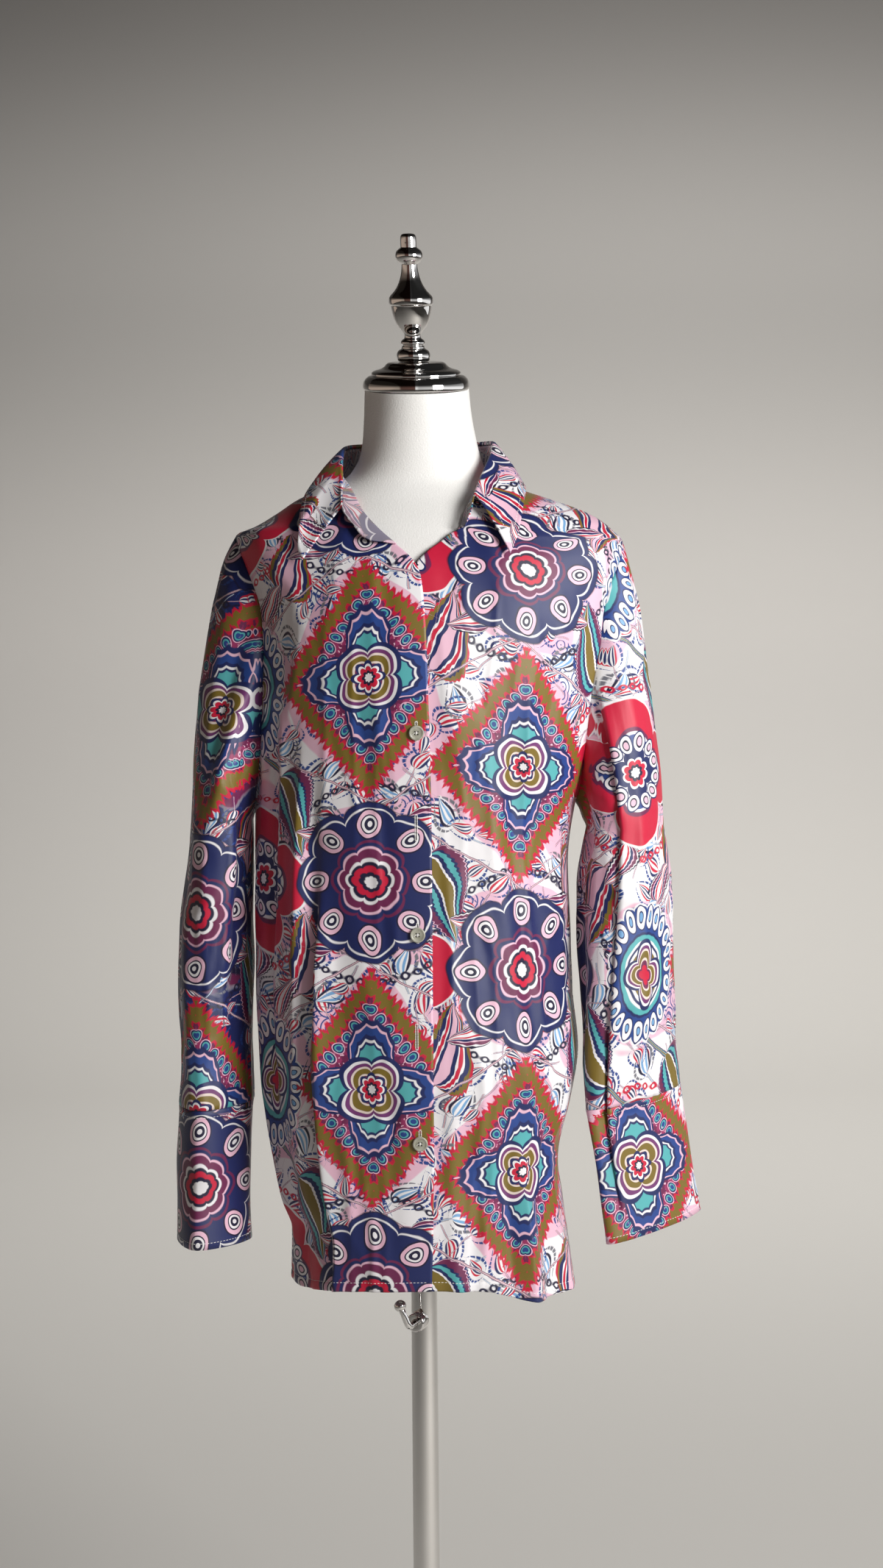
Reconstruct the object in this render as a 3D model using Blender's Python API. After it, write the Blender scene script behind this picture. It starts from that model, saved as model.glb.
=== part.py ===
"""Long-sleeved shirt blouse worn by a limbless dress form on a height-set stand.

The garment is cut as sheets of cloth: two fronts, a back, sleeves, cuffs and a
two-piece collar. Every sheet follows one set of body sections, so that seams meet.
Tables are in millimetres; the scene is in metres.
"""

import math

import bpy
import bmesh
from mathutils import Vector

MM = 0.001

# Cloth
WALL = 1.2
SEAM_HALF_GAP = 0.25
BODY_POWER = 2.1
LAP_STEP = 1.15
LAP_REACH = 16.0
LAP_FADE = 16.0

# Heights that the sheets share
UNDERARM = 1072.0
NECK_TOP = 1368.0
TIP_LEFT = 1318.0
TIP_RIGHT = 1311.0
ARMHOLE_DEPTH_FRONT = 44.0
ARMHOLE_DEPTH_BACK = 50.0

# Grid counts
LOWER_ROWS = 14
ARMHOLE_ROWS = 12
SHOULDER_ROWS = 9
FRONT_COLUMNS = 12
BACK_COLUMNS = 20
FAN_ROWS = 5

# Stand
TUBE_RADIUS = 12.2
TUBE_BORE = 11.0
MAST_RADIUS = 10.95
TUBE_TOP = 662.0
FORM_BOTTOM = 805.0
CLAMP_HEIGHT = 595.0
CLAMP_TURN = math.radians(24.0)
NECK_LEAN = math.radians(12.0)
FINIAL_LEAN = math.radians(2.0)
FINIAL_SIDE = 2.0

# height, right half width, left half width, front depth, back depth
BODY = [
    (620, 139.0, 119.0, 90.0, 104.0),
    (637, 137.0, 120.0, 90.0, 104.0),
    (683, 131.0, 120.0, 91.0, 105.0),
    (712, 126.5, 130.0, 92.0, 106.0),
    (748, 121.5, 138.0, 94.0, 108.0),
    (797, 136.0, 145.5, 100.0, 113.0),
    (845, 143.5, 148.0, 105.0, 119.0),
    (900, 138.5, 151.0, 105.0, 118.0),
    (955, 137.0, 151.5, 102.0, 112.0),
    (1012, 135.0, 151.5, 100.0, 104.0),
    (1066, 141.5, 151.5, 103.0, 100.0),
    (1088, 149.0, 151.2, 105.0, 99.5),
    (1131, 160.0, 150.8, 110.0, 99.0),
    (1177, 168.0, 150.3, 114.5, 99.0),
    (1213, 175.0, 149.0, 114.5, 98.0),
    (1250, 179.0, 151.0, 109.0, 96.0),
    (1277, 185.0, 158.5, 101.5, 93.0),
    (1291, 189.0, 162.5, 96.5, 91.0),
    (1311, 188.0, 167.0, 86.0, 86.0),
    (1318, 181.5, 167.0, 82.0, 84.5),
    (1326, 173.0, 149.5, 77.5, 82.0),
    (1338, 151.0, 128.5, 69.5, 77.0),
    (1349, 121.0, 112.0, 62.5, 72.0),
    (1357, 97.0, 95.0, 58.5, 68.0),
    (1364, 80.0, 79.0, 56.0, 64.0),
    (1368, 73.0, 73.0, 55.0, 62.0),
]

# height, right half width, left half width, front depth, back depth
FORM = [
    (805, 122.0, 122.0, 84.0, 98.0),
    (809, 129.0, 129.0, 89.0, 103.0),
    (820, 133.0, 133.0, 93.0, 107.0),
    (850, 136.0, 136.0, 97.0, 111.0),
    (900, 131.0, 132.0, 95.0, 108.0),
    (955, 118.0, 119.0, 87.0, 97.0),
    (1012, 105.0, 106.0, 81.0, 84.0),
    (1066, 106.0, 107.0, 86.0, 82.0),
    (1131, 122.0, 122.0, 101.0, 89.0),
    (1177, 137.0, 137.0, 108.5, 92.0),
    (1213, 143.0, 142.0, 108.5, 92.0),
    (1250, 148.0, 146.0, 103.0, 90.0),
    (1291, 154.0, 154.0, 90.5, 86.0),
    (1311, 154.0, 154.0, 82.0, 82.5),
    (1318, 152.0, 153.0, 78.5, 81.5),
    (1326, 146.4, 146.7, 74.4, 79.2),
    (1338, 134.2, 125.6, 66.9, 74.4),
    (1349, 117.9, 109.1, 60.0, 69.6),
    (1357, 93.9, 92.0, 56.0, 65.6),
    (1364, 76.6, 75.7, 52.8, 61.0),
    (1369, 69.4, 67.0, 52.6, 59.4),
    (1377, 63.5, 59.5, 53.0, 57.0),
    (1388, 59.0, 53.5, 53.5, 53.5),
    (1405, 54.8, 50.0, 55.0, 48.0),
    (1431, 50.2, 48.4, 58.5, 40.5),
    (1450, 48.4, 47.8, 61.5, 35.5),
]

# height at rest of the hem: angle, height
HEM = [
    (-180, 637),
    (-90, 632),
    (0, 627),
    (40, 629),
    (65, 643),
    (90, 646),
    (125, 643),
    (160, 634),
    (180, 637),
]

# height, edge of the lap and of the neck on the sheet that laps over
LAP_EDGE = [
    (620, 7.0),
    (645, 7.6),
    (683, 9.0),
    (790, 10.8),
    (1050, 11.0),
    (1180, 9.0),
    (1220, 8.0),
    (1255, 5.8),
    (1277, 3.2),
    (1287, -1.6),
    (1291, -4.5),
    (1297, -10.5),
    (1302, -16.5),
    (1308, -23.5),
    (1323.5, -39.0),
    (1334, -47.5),
    (1354, -57.5),
    (1360, -61.0),
    (1364, -64.0),
    (1368, -66.5),
]

# height, edge of the sheet that lies under and of its side of the neck
UNDER_EDGE = [
    (620, -14.0),
    (1262, -14.0),
    (1275, -11.0),
    (1287, -1.6),
    (1293, 4.0),
    (1299, 10.0),
    (1307, 21.0),
    (1313, 28.5),
    (1318.5, 38.9),
    (1330, 42.0),
    (1349, 51.0),
    (1358, 58.5),
    (1364, 63.5),
    (1368, 66.5),
]

# top angle, top height, bottom angle, bottom height, outward size, half width in degrees
FOLDS = [
    (124, 1010, 129, 600, 5.0, 6.0),
    (134, 1000, 137, 600, -3.5, 6.0),
    (143, 1160, 151, 850, -4.0, 7.0),
    (131, 1140, 136, 900, 3.0, 6.0),
    (55, 1150, 30, 760, -4.0, 7.0),
    (66, 1150, 48, 740, 2.5, 7.0),
    (38, 780, 46, 600, 4.0, 7.0),
    (75, 820, 66, 600, -2.5, 7.0),
    (-30, 1180, -34, 600, 3.5, 8.0),
    (-58, 1160, -52, 600, -3.5, 9.0),
    (-82, 1120, -86, 600, 3.0, 8.0),
    (-112, 1150, -108, 600, -3.5, 9.0),
    (-140, 1170, -146, 600, 3.5, 8.0),
]

# azimuth, x, y, z of the fold between the stand and the leaf
COLLAR_FOLD = [
    (-14, -27.5, -93.5, 1306.0),
    (-20, -38.0, -93.0, 1307.0),
    (-27, -47.0, -90.5, 1311.0),
    (-34, -56.0, -84.0, 1322.0),
    (-46, -67.0, -71.0, 1339.0),
    (-58, -67.5, -49.0, 1361.0),
    (-74, -67.5, -24.0, 1384.0),
    (-94, -66.0, -2.0, 1398.0),
    (-130, -50.0, 39.0, 1405.0),
    (-180, 0.0, 60.0, 1408.0),
    (-230, 50.0, 39.0, 1406.0),
    (-266, 69.5, -2.0, 1402.5),
    (-286, 67.5, -24.0, 1391.0),
    (-302, 60.5, -47.0, 1374.0),
    (-312, 54.5, -63.0, 1359.0),
    (-320, 51.0, -75.0, 1348.0),
    (-328, 48.0, -85.0, 1333.0),
    (-334, 43.0, -90.5, 1320.0),
]

# azimuth, x, z, side (1 front, -1 back), lift of the leaf's outer edge
LEAF_EDGE = [
    (-46, -99.5, 1289.5, 1, 5.0),
    (-58, -104.0, 1303.0, 1, 5.0),
    (-74, -103.0, 1329.0, 1, 5.0),
    (-90, -98.0, 1350.0, 1, 5.5),
    (-104, -94.0, 1355.0, -1, 6.5),
    (-130, -72.0, 1354.0, -1, 8.5),
    (-180, 0.0, 1360.0, -1, 12.0),
    (-230, 72.0, 1354.0, -1, 8.5),
    (-256, 94.0, 1356.0, -1, 6.5),
    (-270, 96.5, 1352.0, 1, 5.5),
    (-286, 93.5, 1333.0, 1, 5.0),
    (-302, 88.5, 1310.0, 1, 5.0),
    (-320, 80.8, 1292.5, 1, 7.0),
]
LEAF_START = -46.0
LEAF_END = -320.0

# height, centre x, centre y, long half, short half, turn in degrees, slope, power
SLEEVE_RIGHT = [
    (1048, 187.5, 0.0, 57.5, 34.5, 89.0, 0.0, 2.0),
    (1001, 188.0, 0.0, 56.0, 41.5, 82.0, 0.0, 2.0),
    (961, 188.5, 0.0, 56.0, 43.0, 72.0, 0.0, 2.0),
    (907, 189.5, -2.0, 57.0, 38.0, 56.0, 0.03, 2.0),
    (850, 191.5, -4.0, 57.0, 29.0, 46.0, 0.07, 2.0),
    (799, 195.0, -6.0, 58.0, 20.0, 40.0, 0.11, 2.0),
]
SLEEVE_LEFT = [
    (1055, -182.7, 0.0, 57.5, 27.4, 90.0, 0.0, 2.0),
    (1001, -185.2, 0.0, 56.0, 29.6, 87.0, 0.0, 2.0),
    (955, -188.5, 0.0, 55.0, 32.0, 84.0, 0.0, 2.0),
    (901, -190.0, 0.0, 53.0, 33.0, 80.0, 0.0, 1.9),
    (844, -189.8, 0.0, 51.0, 31.0, 78.0, 0.0, 1.8),
    (798, -190.3, -2.0, 50.0, 32.0, 77.0, 0.0, 1.7),
]
CUFF_RIGHT = [
    (798, 195.5, -6.0, 58.0, 15.0, 38.0, 0.11, 1.8),
    (758, 201.0, -6.0, 57.5, 14.5, 38.0, 0.12, 1.8),
    (718, 207.0, -5.5, 57.0, 14.0, 38.0, 0.13, 1.8),
    (678.5, 213.0, -5.0, 57.0, 14.0, 38.0, 0.14, 1.8),
]
CUFF_LEFT = [
    (797, -190.5, -2.0, 48.0, 32.0, 76.0, 0.0, 1.6),
    (755, -191.5, -1.0, 48.0, 33.0, 76.0, 0.0, 1.55),
    (713, -192.5, -1.0, 48.0, 34.0, 76.0, 0.0, 1.5),
    (671.5, -193.0, -1.0, 48.5, 35.0, 75.0, 0.0, 1.5),
]
# how far the fan of the sleeve head stands off: outward, upward
HEAD_BULGE_RIGHT = (5.5, 74.0)
HEAD_BULGE_LEFT = (13.5, 76.0)

# radius, height above the underside of the rim
CAP_PROFILE = [
    (0.0, 0.0),
    (47.6, 0.0),
    (49.2, 1.6),
    (49.2, 11.4),
    (47.8, 13.0),
    (41.0, 13.4),
    (40.2, 14.2),
    (40.2, 17.6),
    (39.0, 18.6),
    (32.0, 19.0),
    (26.0, 22.6),
    (23.2, 25.4),
    (0.0, 25.4),
]
FINIAL_PROFILE = [
    (0.0, 25.7),
    (14.0, 25.7),
    (15.4, 29.3),
    (15.2, 33.5),
    (12.6, 36.2),
    (10.6, 36.5),
    (10.6, 38.8),
    (9.4, 39.5),
    (10.6, 40.3),
    (10.6, 44.6),
    (7.4, 46.3),
    (7.7, 49.5),
    (11.3, 55.9),
    (15.8, 64.1),
    (18.0, 74.9),
    (20.1, 76.4),
    (20.1, 82.6),
    (17.6, 84.8),
    (13.6, 89.7),
    (10.2, 95.5),
    (7.9, 101.6),
    (6.8, 111.9),
    (10.6, 113.8),
    (12.5, 118.9),
    (10.8, 124.3),
    (7.1, 126.4),
    (7.1, 135.6),
    (5.0, 137.8),
    (0.0, 138.4),
]
BASE_PROFILE = [
    (0.0, 0.0),
    (149.0, 0.0),
    (150.0, 1.0),
    (150.0, 6.0),
    (147.5, 8.0),
    (24.0, 9.2),
    (21.0, 11.5),
    (19.5, 24.0),
    (18.5, 25.0),
    (12.5, 25.0),
    (12.5, 5.0),
    (0.0, 5.0),
]

# name of the look, colour, roughness, metallic
LOOKS = {
    "cloth": ((0.56, 0.42, 0.50), 0.42, 0.0),
    "form": ((0.83, 0.82, 0.79), 0.55, 0.0),
    "chrome": ((0.72, 0.72, 0.73), 0.12, 1.0),
    "button": ((0.66, 0.62, 0.55), 0.35, 0.0),
}

BUTTON_PLACES = [(-1.4, 1139.0), (-1.9, 961.5), (-1.3, 778.6)]
# radius, height above the cloth
BUTTON_PROFILE = [
    (0.0, 0.0),
    (5.8, 0.0),
    (6.7, 0.8),
    (6.7, 1.7),
    (6.1, 2.3),
    (5.2, 2.2),
    (4.4, 1.7),
    (0.0, 1.6),
]


def column(rows, value, index):
    """Read one column of a table at any value of its first column, without overshoot."""
    keys = [row[0] for row in rows]
    data = [row[index] for row in rows]
    if keys[0] > keys[-1]:
        keys = keys[::-1]
        data = data[::-1]
    if value <= keys[0]:
        return data[0]
    if value >= keys[-1]:
        return data[-1]
    place = 0
    while keys[place + 1] < value:
        place += 1
    steps = [keys[i + 1] - keys[i] for i in range(len(keys) - 1)]
    slopes = [(data[i + 1] - data[i]) / steps[i] for i in range(len(steps))]

    def tangent(i):
        if i == 0:
            return slopes[0]
        if i == len(slopes):
            return slopes[-1]
        if slopes[i - 1] * slopes[i] <= 0.0:
            return 0.0
        return 2.0 * slopes[i - 1] * slopes[i] / (slopes[i - 1] + slopes[i])

    step = steps[place]
    part = (value - keys[place]) / step
    first = (1 + 2 * part) * (1 - part) ** 2 * data[place]
    second = part * (1 - part) ** 2 * step * tangent(place)
    third = part * part * (3 - 2 * part) * data[place + 1]
    fourth = part * part * (part - 1) * step * tangent(place + 1)
    return first + second + third + fourth


def ramp(value):
    value = min(max(value, 0.0), 1.0)
    return value * value * (3 - 2 * value)


def rounded(value, power):
    return math.copysign(abs(value) ** (2.0 / power), value)


def section_point(rows, angle, height):
    """A point of a torso section; angle 0 is the right side and 90 the front."""
    across = math.cos(math.radians(angle))
    along = math.sin(math.radians(angle))
    half = column(rows, height, 1 if across >= 0 else 2)
    depth = column(rows, height, 3 if along >= 0 else 4)
    return Vector((half * rounded(across, BODY_POWER), -depth * rounded(along, BODY_POWER), height))


def fold_size(angle, height):
    total = 0.0
    for top_angle, top, bottom_angle, bottom, size, reach in FOLDS:
        part = (top - height) / (top - bottom)
        if part <= 0.0:
            continue
        middle = top_angle + (bottom_angle - top_angle) * min(part, 1.0)
        away = (angle - middle + 180.0) % 360.0 - 180.0
        total += size * ramp(part * 3.0) * math.exp(-((away / reach) ** 2))
    return total


def body_normal(angle, height):
    turn = section_point(BODY, angle + 0.5, height) - section_point(BODY, angle - 0.5, height)
    rise = section_point(BODY, angle, height + 1.0) - section_point(BODY, angle, height - 1.0)
    return turn.cross(rise).normalized() * -1.0


def lap_shift(x, layer):
    """The overlapping fronts part by one step each way near the centre."""
    return layer * LAP_STEP * ramp((LAP_REACH + LAP_FADE - layer * -x) / LAP_FADE)


def cloth_point(angle, height, layer):
    point = section_point(BODY, angle, height)
    flat = body_normal(angle, height)
    lift = fold_size(angle, height)
    if layer:
        lift += lap_shift(point.x, layer)
    return point + flat * lift


def angle_at(x, height, side):
    half = column(BODY, height, 1 if x >= 0 else 2)
    share = min(abs(x) / half, 1.0) ** (BODY_POWER / 2.0)
    return side * math.degrees(math.acos(math.copysign(share, x)))


def row_levels(tip):
    """Shares of the armhole, then the heights from its tip to the neck."""
    armhole = []
    for step in range(1, ARMHOLE_ROWS + 1):
        share = (1 - math.cos(math.pi * step / ARMHOLE_ROWS)) / 2.0
        armhole.append((share, UNDERARM + share * (tip - UNDERARM)))
    shoulder = []
    for step in range(1, SHOULDER_ROWS + 1):
        shoulder.append(tip + (NECK_TOP - tip) * step / SHOULDER_ROWS)
    return armhole, shoulder


def armhole_angle(share, height, front):
    """How far from the side the armhole edge stands, in degrees."""
    reach = ARMHOLE_DEPTH_FRONT if front else ARMHOLE_DEPTH_BACK
    away = reach * math.sqrt(max(1 - (2 * share - 1) ** 2, 0.0))
    depth = column(BODY, height, 3 if front else 4)
    return math.degrees(math.asin((away / depth) ** (BODY_POWER / 2.0)))


def front_grid(left):
    """Rows of points of one front from its edge at the centre to the side."""
    tip = TIP_LEFT if left else TIP_RIGHT
    edge = LAP_EDGE if left else UNDER_EDGE
    layer = 1 if left else -1
    side = 180.0 if left else 0.0
    inward = -1.0 if left else 1.0
    armhole, shoulder = row_levels(tip)
    levels = [("low", step / LOWER_ROWS, 0.0) for step in range(LOWER_ROWS)]
    levels.append(("low", 1.0, 0.0))
    levels += [("arm", share, height) for share, height in armhole]
    levels += [("top", 0.0, height) for height in shoulder]
    grid = []
    for kind, share, height in levels:
        row = []
        for place in range(FRONT_COLUMNS + 1):
            across = place / FRONT_COLUMNS
            if kind == "low":
                hem = column(HEM, 90.0 + (side - 90.0) * across, 1)
                height = hem + (UNDERARM - hem) * share
            start = angle_at(column(edge, height, 1), height, 1)
            stop = side
            if kind == "arm":
                stop += inward * armhole_angle(share, height, True)
            row.append(cloth_point(start + (stop - start) * across, height, layer))
        grid.append(row)
    return grid


def back_grid():
    """Rows of points of the back from the left side round to the right side."""
    arm_left, top_left = row_levels(TIP_LEFT)
    arm_right, top_right = row_levels(TIP_RIGHT)
    grid = []
    for step in range(LOWER_ROWS + 1):
        row = []
        for place in range(BACK_COLUMNS + 1):
            angle = -180.0 + 180.0 * place / BACK_COLUMNS
            hem = column(HEM, angle, 1)
            row.append(cloth_point(angle, hem + (UNDERARM - hem) * step / LOWER_ROWS, 0))
        grid.append(row)
    levels = [(a, b) for a, b in zip(arm_left, arm_right)]
    levels += [((None, a), (None, b)) for a, b in zip(top_left, top_right)]
    for (share, low), (_, high) in levels:
        start = -180.0
        stop = 0.0
        if share is not None:
            start += armhole_angle(share, low, False)
            stop -= armhole_angle(share, high, False)
        row = []
        for place in range(BACK_COLUMNS + 1):
            across = place / BACK_COLUMNS
            height = low + (high - low) * across
            row.append(cloth_point(start + (stop - start) * across, height, 0))
        grid.append(row)
    return grid


def armhole_ring(front, back, left):
    """The seam all round one armhole: down the front from the tip, then up the back."""
    first = LOWER_ROWS
    last = LOWER_ROWS + ARMHOLE_ROWS
    ring = [front[row][-1] for row in range(last, first - 1, -1)]
    place = 0 if left else -1
    ring += [back[row][place] for row in range(first + 1, last)]
    return [point.copy() for point in ring]


def ring_point(row, turn):
    """A point of a hanging section; turn 0 is outward and 90 the front."""
    height, x, y, long_half, short_half, degrees, slope, power = row
    lean = math.radians(degrees)
    outward = 1.0 if x > 0 else -1.0
    along = Vector((math.cos(lean), math.sin(lean), 0.0))
    across = Vector((math.sin(lean), -math.cos(lean), 0.0))
    # start at the outward side: with the long half front to back that is the short one
    flat = Vector((outward * math.cos(turn), -math.sin(turn), 0.0))
    far = flat.dot(along)
    near = flat.dot(across)
    share = math.atan2(near, far)
    point = along * (long_half * rounded(math.cos(share), power))
    point += across * (short_half * rounded(math.sin(share), power))
    point.z = slope * point.x
    return Vector((x, y, height)) + point


def table_row(rows, height):
    return (height,) + tuple(column(rows, height, i) for i in range(1, len(rows[0])))


def sleeve_grid(ring, rows, bulge):
    """A tube: its first row is the armhole seam and its last meets the cuff."""
    count = len(ring)
    turns = [2 * math.pi * place / count for place in range(count)]
    top = [ring_point(table_row(rows, rows[0][0]), turn) for turn in turns]
    outward = 1.0 if rows[0][1] > 0 else -1.0
    grid = [ring]
    for step in range(1, FAN_ROWS + 1):
        part = step / FAN_ROWS
        row = []
        for place, turn in enumerate(turns):
            start = ring[place]
            stop = top[place]
            upper = ((1 + math.cos(turn)) / 2.0) ** 1.3
            sway = Vector((outward * bulge[0] * upper, -9.0 * math.sin(turn), bulge[1] * upper))
            middle = (start + stop) / 2.0 + sway
            point = start * (1 - part) ** 2 + middle * (2 * part * (1 - part)) + stop * part ** 2
            row.append(point)
        grid.append(row)
    heights = [row[0] for row in rows]
    steps = 9
    for step in range(1, steps + 1):
        height = heights[0] + (heights[-1] - heights[0]) * step / steps
        grid.append([ring_point(table_row(rows, height), turn) for turn in turns])
    return grid


def cuff_grid(ring, rows):
    count = len(ring)
    grid = [[point.copy() for point in ring]]
    grid += [
        [ring_point(row, 2 * math.pi * place / count) for place in range(count)] for row in rows[1:]
    ]
    return grid


def azimuth(point):
    degrees = math.degrees(math.atan2(point.x, 5.0 - point.y))
    return degrees if degrees <= 0 else degrees - 360.0


def neck_line(front_left_side, back, front_right_side):
    """The neck seam from the left end of the stand round the back to the right end."""
    line = [row[0] for row in front_left_side if row[0].z > 1300.0]
    line += [front_left_side[-1][place] for place in (3, 6, 9)]
    line += [point for point in back[-1]]
    right = [row[0] for row in front_right_side if row[0].z > 1316.5]
    right += [front_right_side[-1][place] for place in (3, 6, 9)]
    line += right[::-1]
    return [point.copy() for point in line]


def outward_normal(point):
    """The way out of the body at a point of its surface."""
    side = 1 if point.y < 0 else -1
    return body_normal(angle_at(point.x, point.z, side), min(point.z, 1366.5))


def stand_grid(line):
    bottom = []
    top = []
    for point in line:
        turn = azimuth(point)
        bottom.append(point + outward_normal(point) * 1.9)
        top.append(Vector(tuple(column(COLLAR_FOLD, turn, i) for i in (1, 2, 3))))
    middle = [a * 0.5 + b * 0.5 + outward_normal(b) * 0.5 for a, b in zip(top, bottom)]
    return [bottom, middle, top]


def stand_way(turn, foot, edge):
    """The way off the side of the collar's stand that the leaf hangs on."""
    here, after = (
        Vector(tuple(column(COLLAR_FOLD, turn + away, i) for i in (1, 2, 3))) for away in (0.0, -1.0)
    )
    flat = (after - here).cross(here - foot).normalized()
    return flat if flat.dot(edge - here) > 0 else flat * -1.0


def leaf_grid(line):
    grid = [[], [], [], [], []]
    for point in line:
        turn = azimuth(point)
        if turn > LEAF_START + 2.0 or turn < LEAF_END - 2.0:
            continue
        turn = min(max(turn, LEAF_END), LEAF_START)
        start = Vector(tuple(column(COLLAR_FOLD, turn, i) for i in (1, 2, 3)))
        x = column(LEAF_EDGE, turn, 1)
        height = column(LEAF_EDGE, turn, 2)
        side = 1 if column(LEAF_EDGE, turn, 3) > 0 else -1
        angle = angle_at(x, height, side)
        out = body_normal(angle, height)
        stop = cloth_point(angle, height, 0) + out * column(LEAF_EDGE, turn, 4)
        off = stand_way(turn, point + outward_normal(point) * 1.9, stop)
        first = start + off * 1.8
        middle = (first + stop) / 2.0 + off * 1.6 + out * 2.4
        for step, part in enumerate((0.0, 0.22, 0.48, 0.74, 1.0)):
            low = first * (1 - part) ** 2 + middle * (2 * part * (1 - part)) + stop * part ** 2
            grid[step].append(low)
    return grid


def grid_normals(grid, closed):
    rows = len(grid)
    columns = len(grid[0])
    normals = []
    for r in range(rows):
        row = []
        for c in range(columns):
            up = grid[min(r + 1, rows - 1)][c] - grid[max(r - 1, 0)][c]
            if closed:
                turn = grid[r][(c + 1) % columns] - grid[r][c - 1]
            else:
                turn = grid[r][min(c + 1, columns - 1)] - grid[r][max(c - 1, 0)]
            row.append(turn.cross(up).normalized())
        normals.append(row)
    return normals


def body_way(point, row):
    return outward_normal(point)


def tube_way(point, row):
    middle = Vector((0, 0, 0))
    for other in row:
        middle += other
    return point - middle / len(row)


def outward_normals(grid, closed, way):
    """Grid normals, all turned to the side that the middle row's way out points to."""
    normals = grid_normals(grid, closed)
    row = len(grid) // 3
    total = sum(normals[row][c].dot(way(point, grid[row])) for c, point in enumerate(grid[row]))
    if total < 0:
        normals = [[normal * -1.0 for normal in line] for line in normals]
    return normals


def mitre(first, second):
    """The shared direction of two sheets' edges at a seam, longer where they bend."""
    way = (first + second).normalized()
    return way / max(way.dot(second), 0.65)


def share_normals(joined, front_normals, rear_normals, rear_edge):
    first = LOWER_ROWS
    last = LOWER_ROWS + ARMHOLE_ROWS
    for place, row in enumerate(range(last, first - 1, -1)):
        front_normals[row][-1] = joined[place]
    for place, row in enumerate(range(first + 1, last)):
        rear_normals[row][rear_edge] = joined[last - first + 1 + place]
    rear_normals[first][rear_edge] = joined[last - first]
    rear_normals[last][rear_edge] = joined[0]


def shrink_edges(grid, closed, amount, sides):
    """Draw the named edges of a sheet in by the seam's half gap."""
    rows = [[point.copy() for point in row] for row in grid]
    if "bottom" in sides:
        rows[0] = [a + (b - a).normalized() * amount for a, b in zip(grid[0], grid[1])]
    if "top" in sides:
        rows[-1] = [a + (b - a).normalized() * amount for a, b in zip(grid[-1], grid[-2])]
    if not closed:
        for number, row in enumerate(rows):
            if "start" in sides:
                row[0] = row[0] + (grid[number][1] - grid[number][0]).normalized() * amount
            if "end" in sides:
                row[-1] = row[-1] + (grid[number][-2] - grid[number][-1]).normalized() * amount
    return rows


def sheet_object(name, look, grid, closed, normals=None, wall=WALL):
    """A closed solid wall of even thickness about a grid of points."""
    normals = normals or grid_normals(grid, closed)
    rows = len(grid)
    columns = len(grid[0])
    mesh = bmesh.new()
    layers = []
    for way in (0.5, -0.5):
        layer = []
        for r in range(rows):
            line = []
            for c in range(columns):
                line.append(mesh.verts.new((grid[r][c] + normals[r][c] * (way * wall)) * MM))
            layer.append(line)
        layers.append(layer)
    spans = columns if closed else columns - 1
    for number, layer in enumerate(layers):
        for r in range(rows - 1):
            for c in range(spans):
                d = (c + 1) % columns
                face = [layer[r][c], layer[r][d], layer[r + 1][d], layer[r + 1][c]]
                mesh.faces.new(face if number == 0 else face[::-1])
    outer, inner = layers
    for c in range(spans):
        d = (c + 1) % columns
        mesh.faces.new([outer[0][d], outer[0][c], inner[0][c], inner[0][d]])
        mesh.faces.new([outer[-1][c], outer[-1][d], inner[-1][d], inner[-1][c]])
    if not closed:
        for r in range(rows - 1):
            mesh.faces.new([outer[r][0], outer[r + 1][0], inner[r + 1][0], inner[r][0]])
            mesh.faces.new([outer[r + 1][-1], outer[r][-1], inner[r][-1], inner[r + 1][-1]])
    return finish(name, look, mesh)


def finish(name, look, mesh, flat=False):
    bmesh.ops.recalc_face_normals(mesh, faces=mesh.faces)
    data = bpy.data.meshes.new(name)
    mesh.to_mesh(data)
    mesh.free()
    thing = bpy.data.objects.new(name, data)
    bpy.context.collection.objects.link(thing)
    colour, roughness, metallic = LOOKS[look]
    material = bpy.data.materials.new(name + "_material")
    material.use_nodes = True
    shader = material.node_tree.nodes["Principled BSDF"]
    shader.inputs["Base Color"].default_value = (*colour, 1.0)
    shader.inputs["Roughness"].default_value = roughness
    shader.inputs["Metallic"].default_value = metallic
    data.materials.append(material)
    for polygon in data.polygons:
        polygon.use_smooth = not flat
    return thing


def lathe_object(name, look, profile, segments, place=None):
    """Turn a profile of radius and height; place moves each made point."""
    mesh = bmesh.new()
    rings = []
    for radius, height in profile:
        if radius == 0.0:
            rings.append([mesh.verts.new(Vector((0, 0, height)))])
            continue
        ring = []
        for step in range(segments):
            turn = 2 * math.pi * step / segments
            ring.append(mesh.verts.new((radius * math.cos(turn), radius * math.sin(turn), height)))
        rings.append(ring)
    closed = len(rings[0]) > 1
    pairs = list(zip(rings, rings[1:]))
    if closed:
        pairs.append((rings[-1], rings[0]))
    for low, high in pairs:
        for step in range(segments):
            after = (step + 1) % segments
            if len(low) == 1:
                mesh.faces.new([low[0], high[after], high[step]])
            elif len(high) == 1:
                mesh.faces.new([low[step], low[after], high[0]])
            else:
                mesh.faces.new([low[step], low[after], high[after], high[step]])
    for vert in mesh.verts:
        point = place(vert.co.copy()) if place else vert.co
        vert.co = point * MM
    return finish(name, look, mesh)


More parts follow.
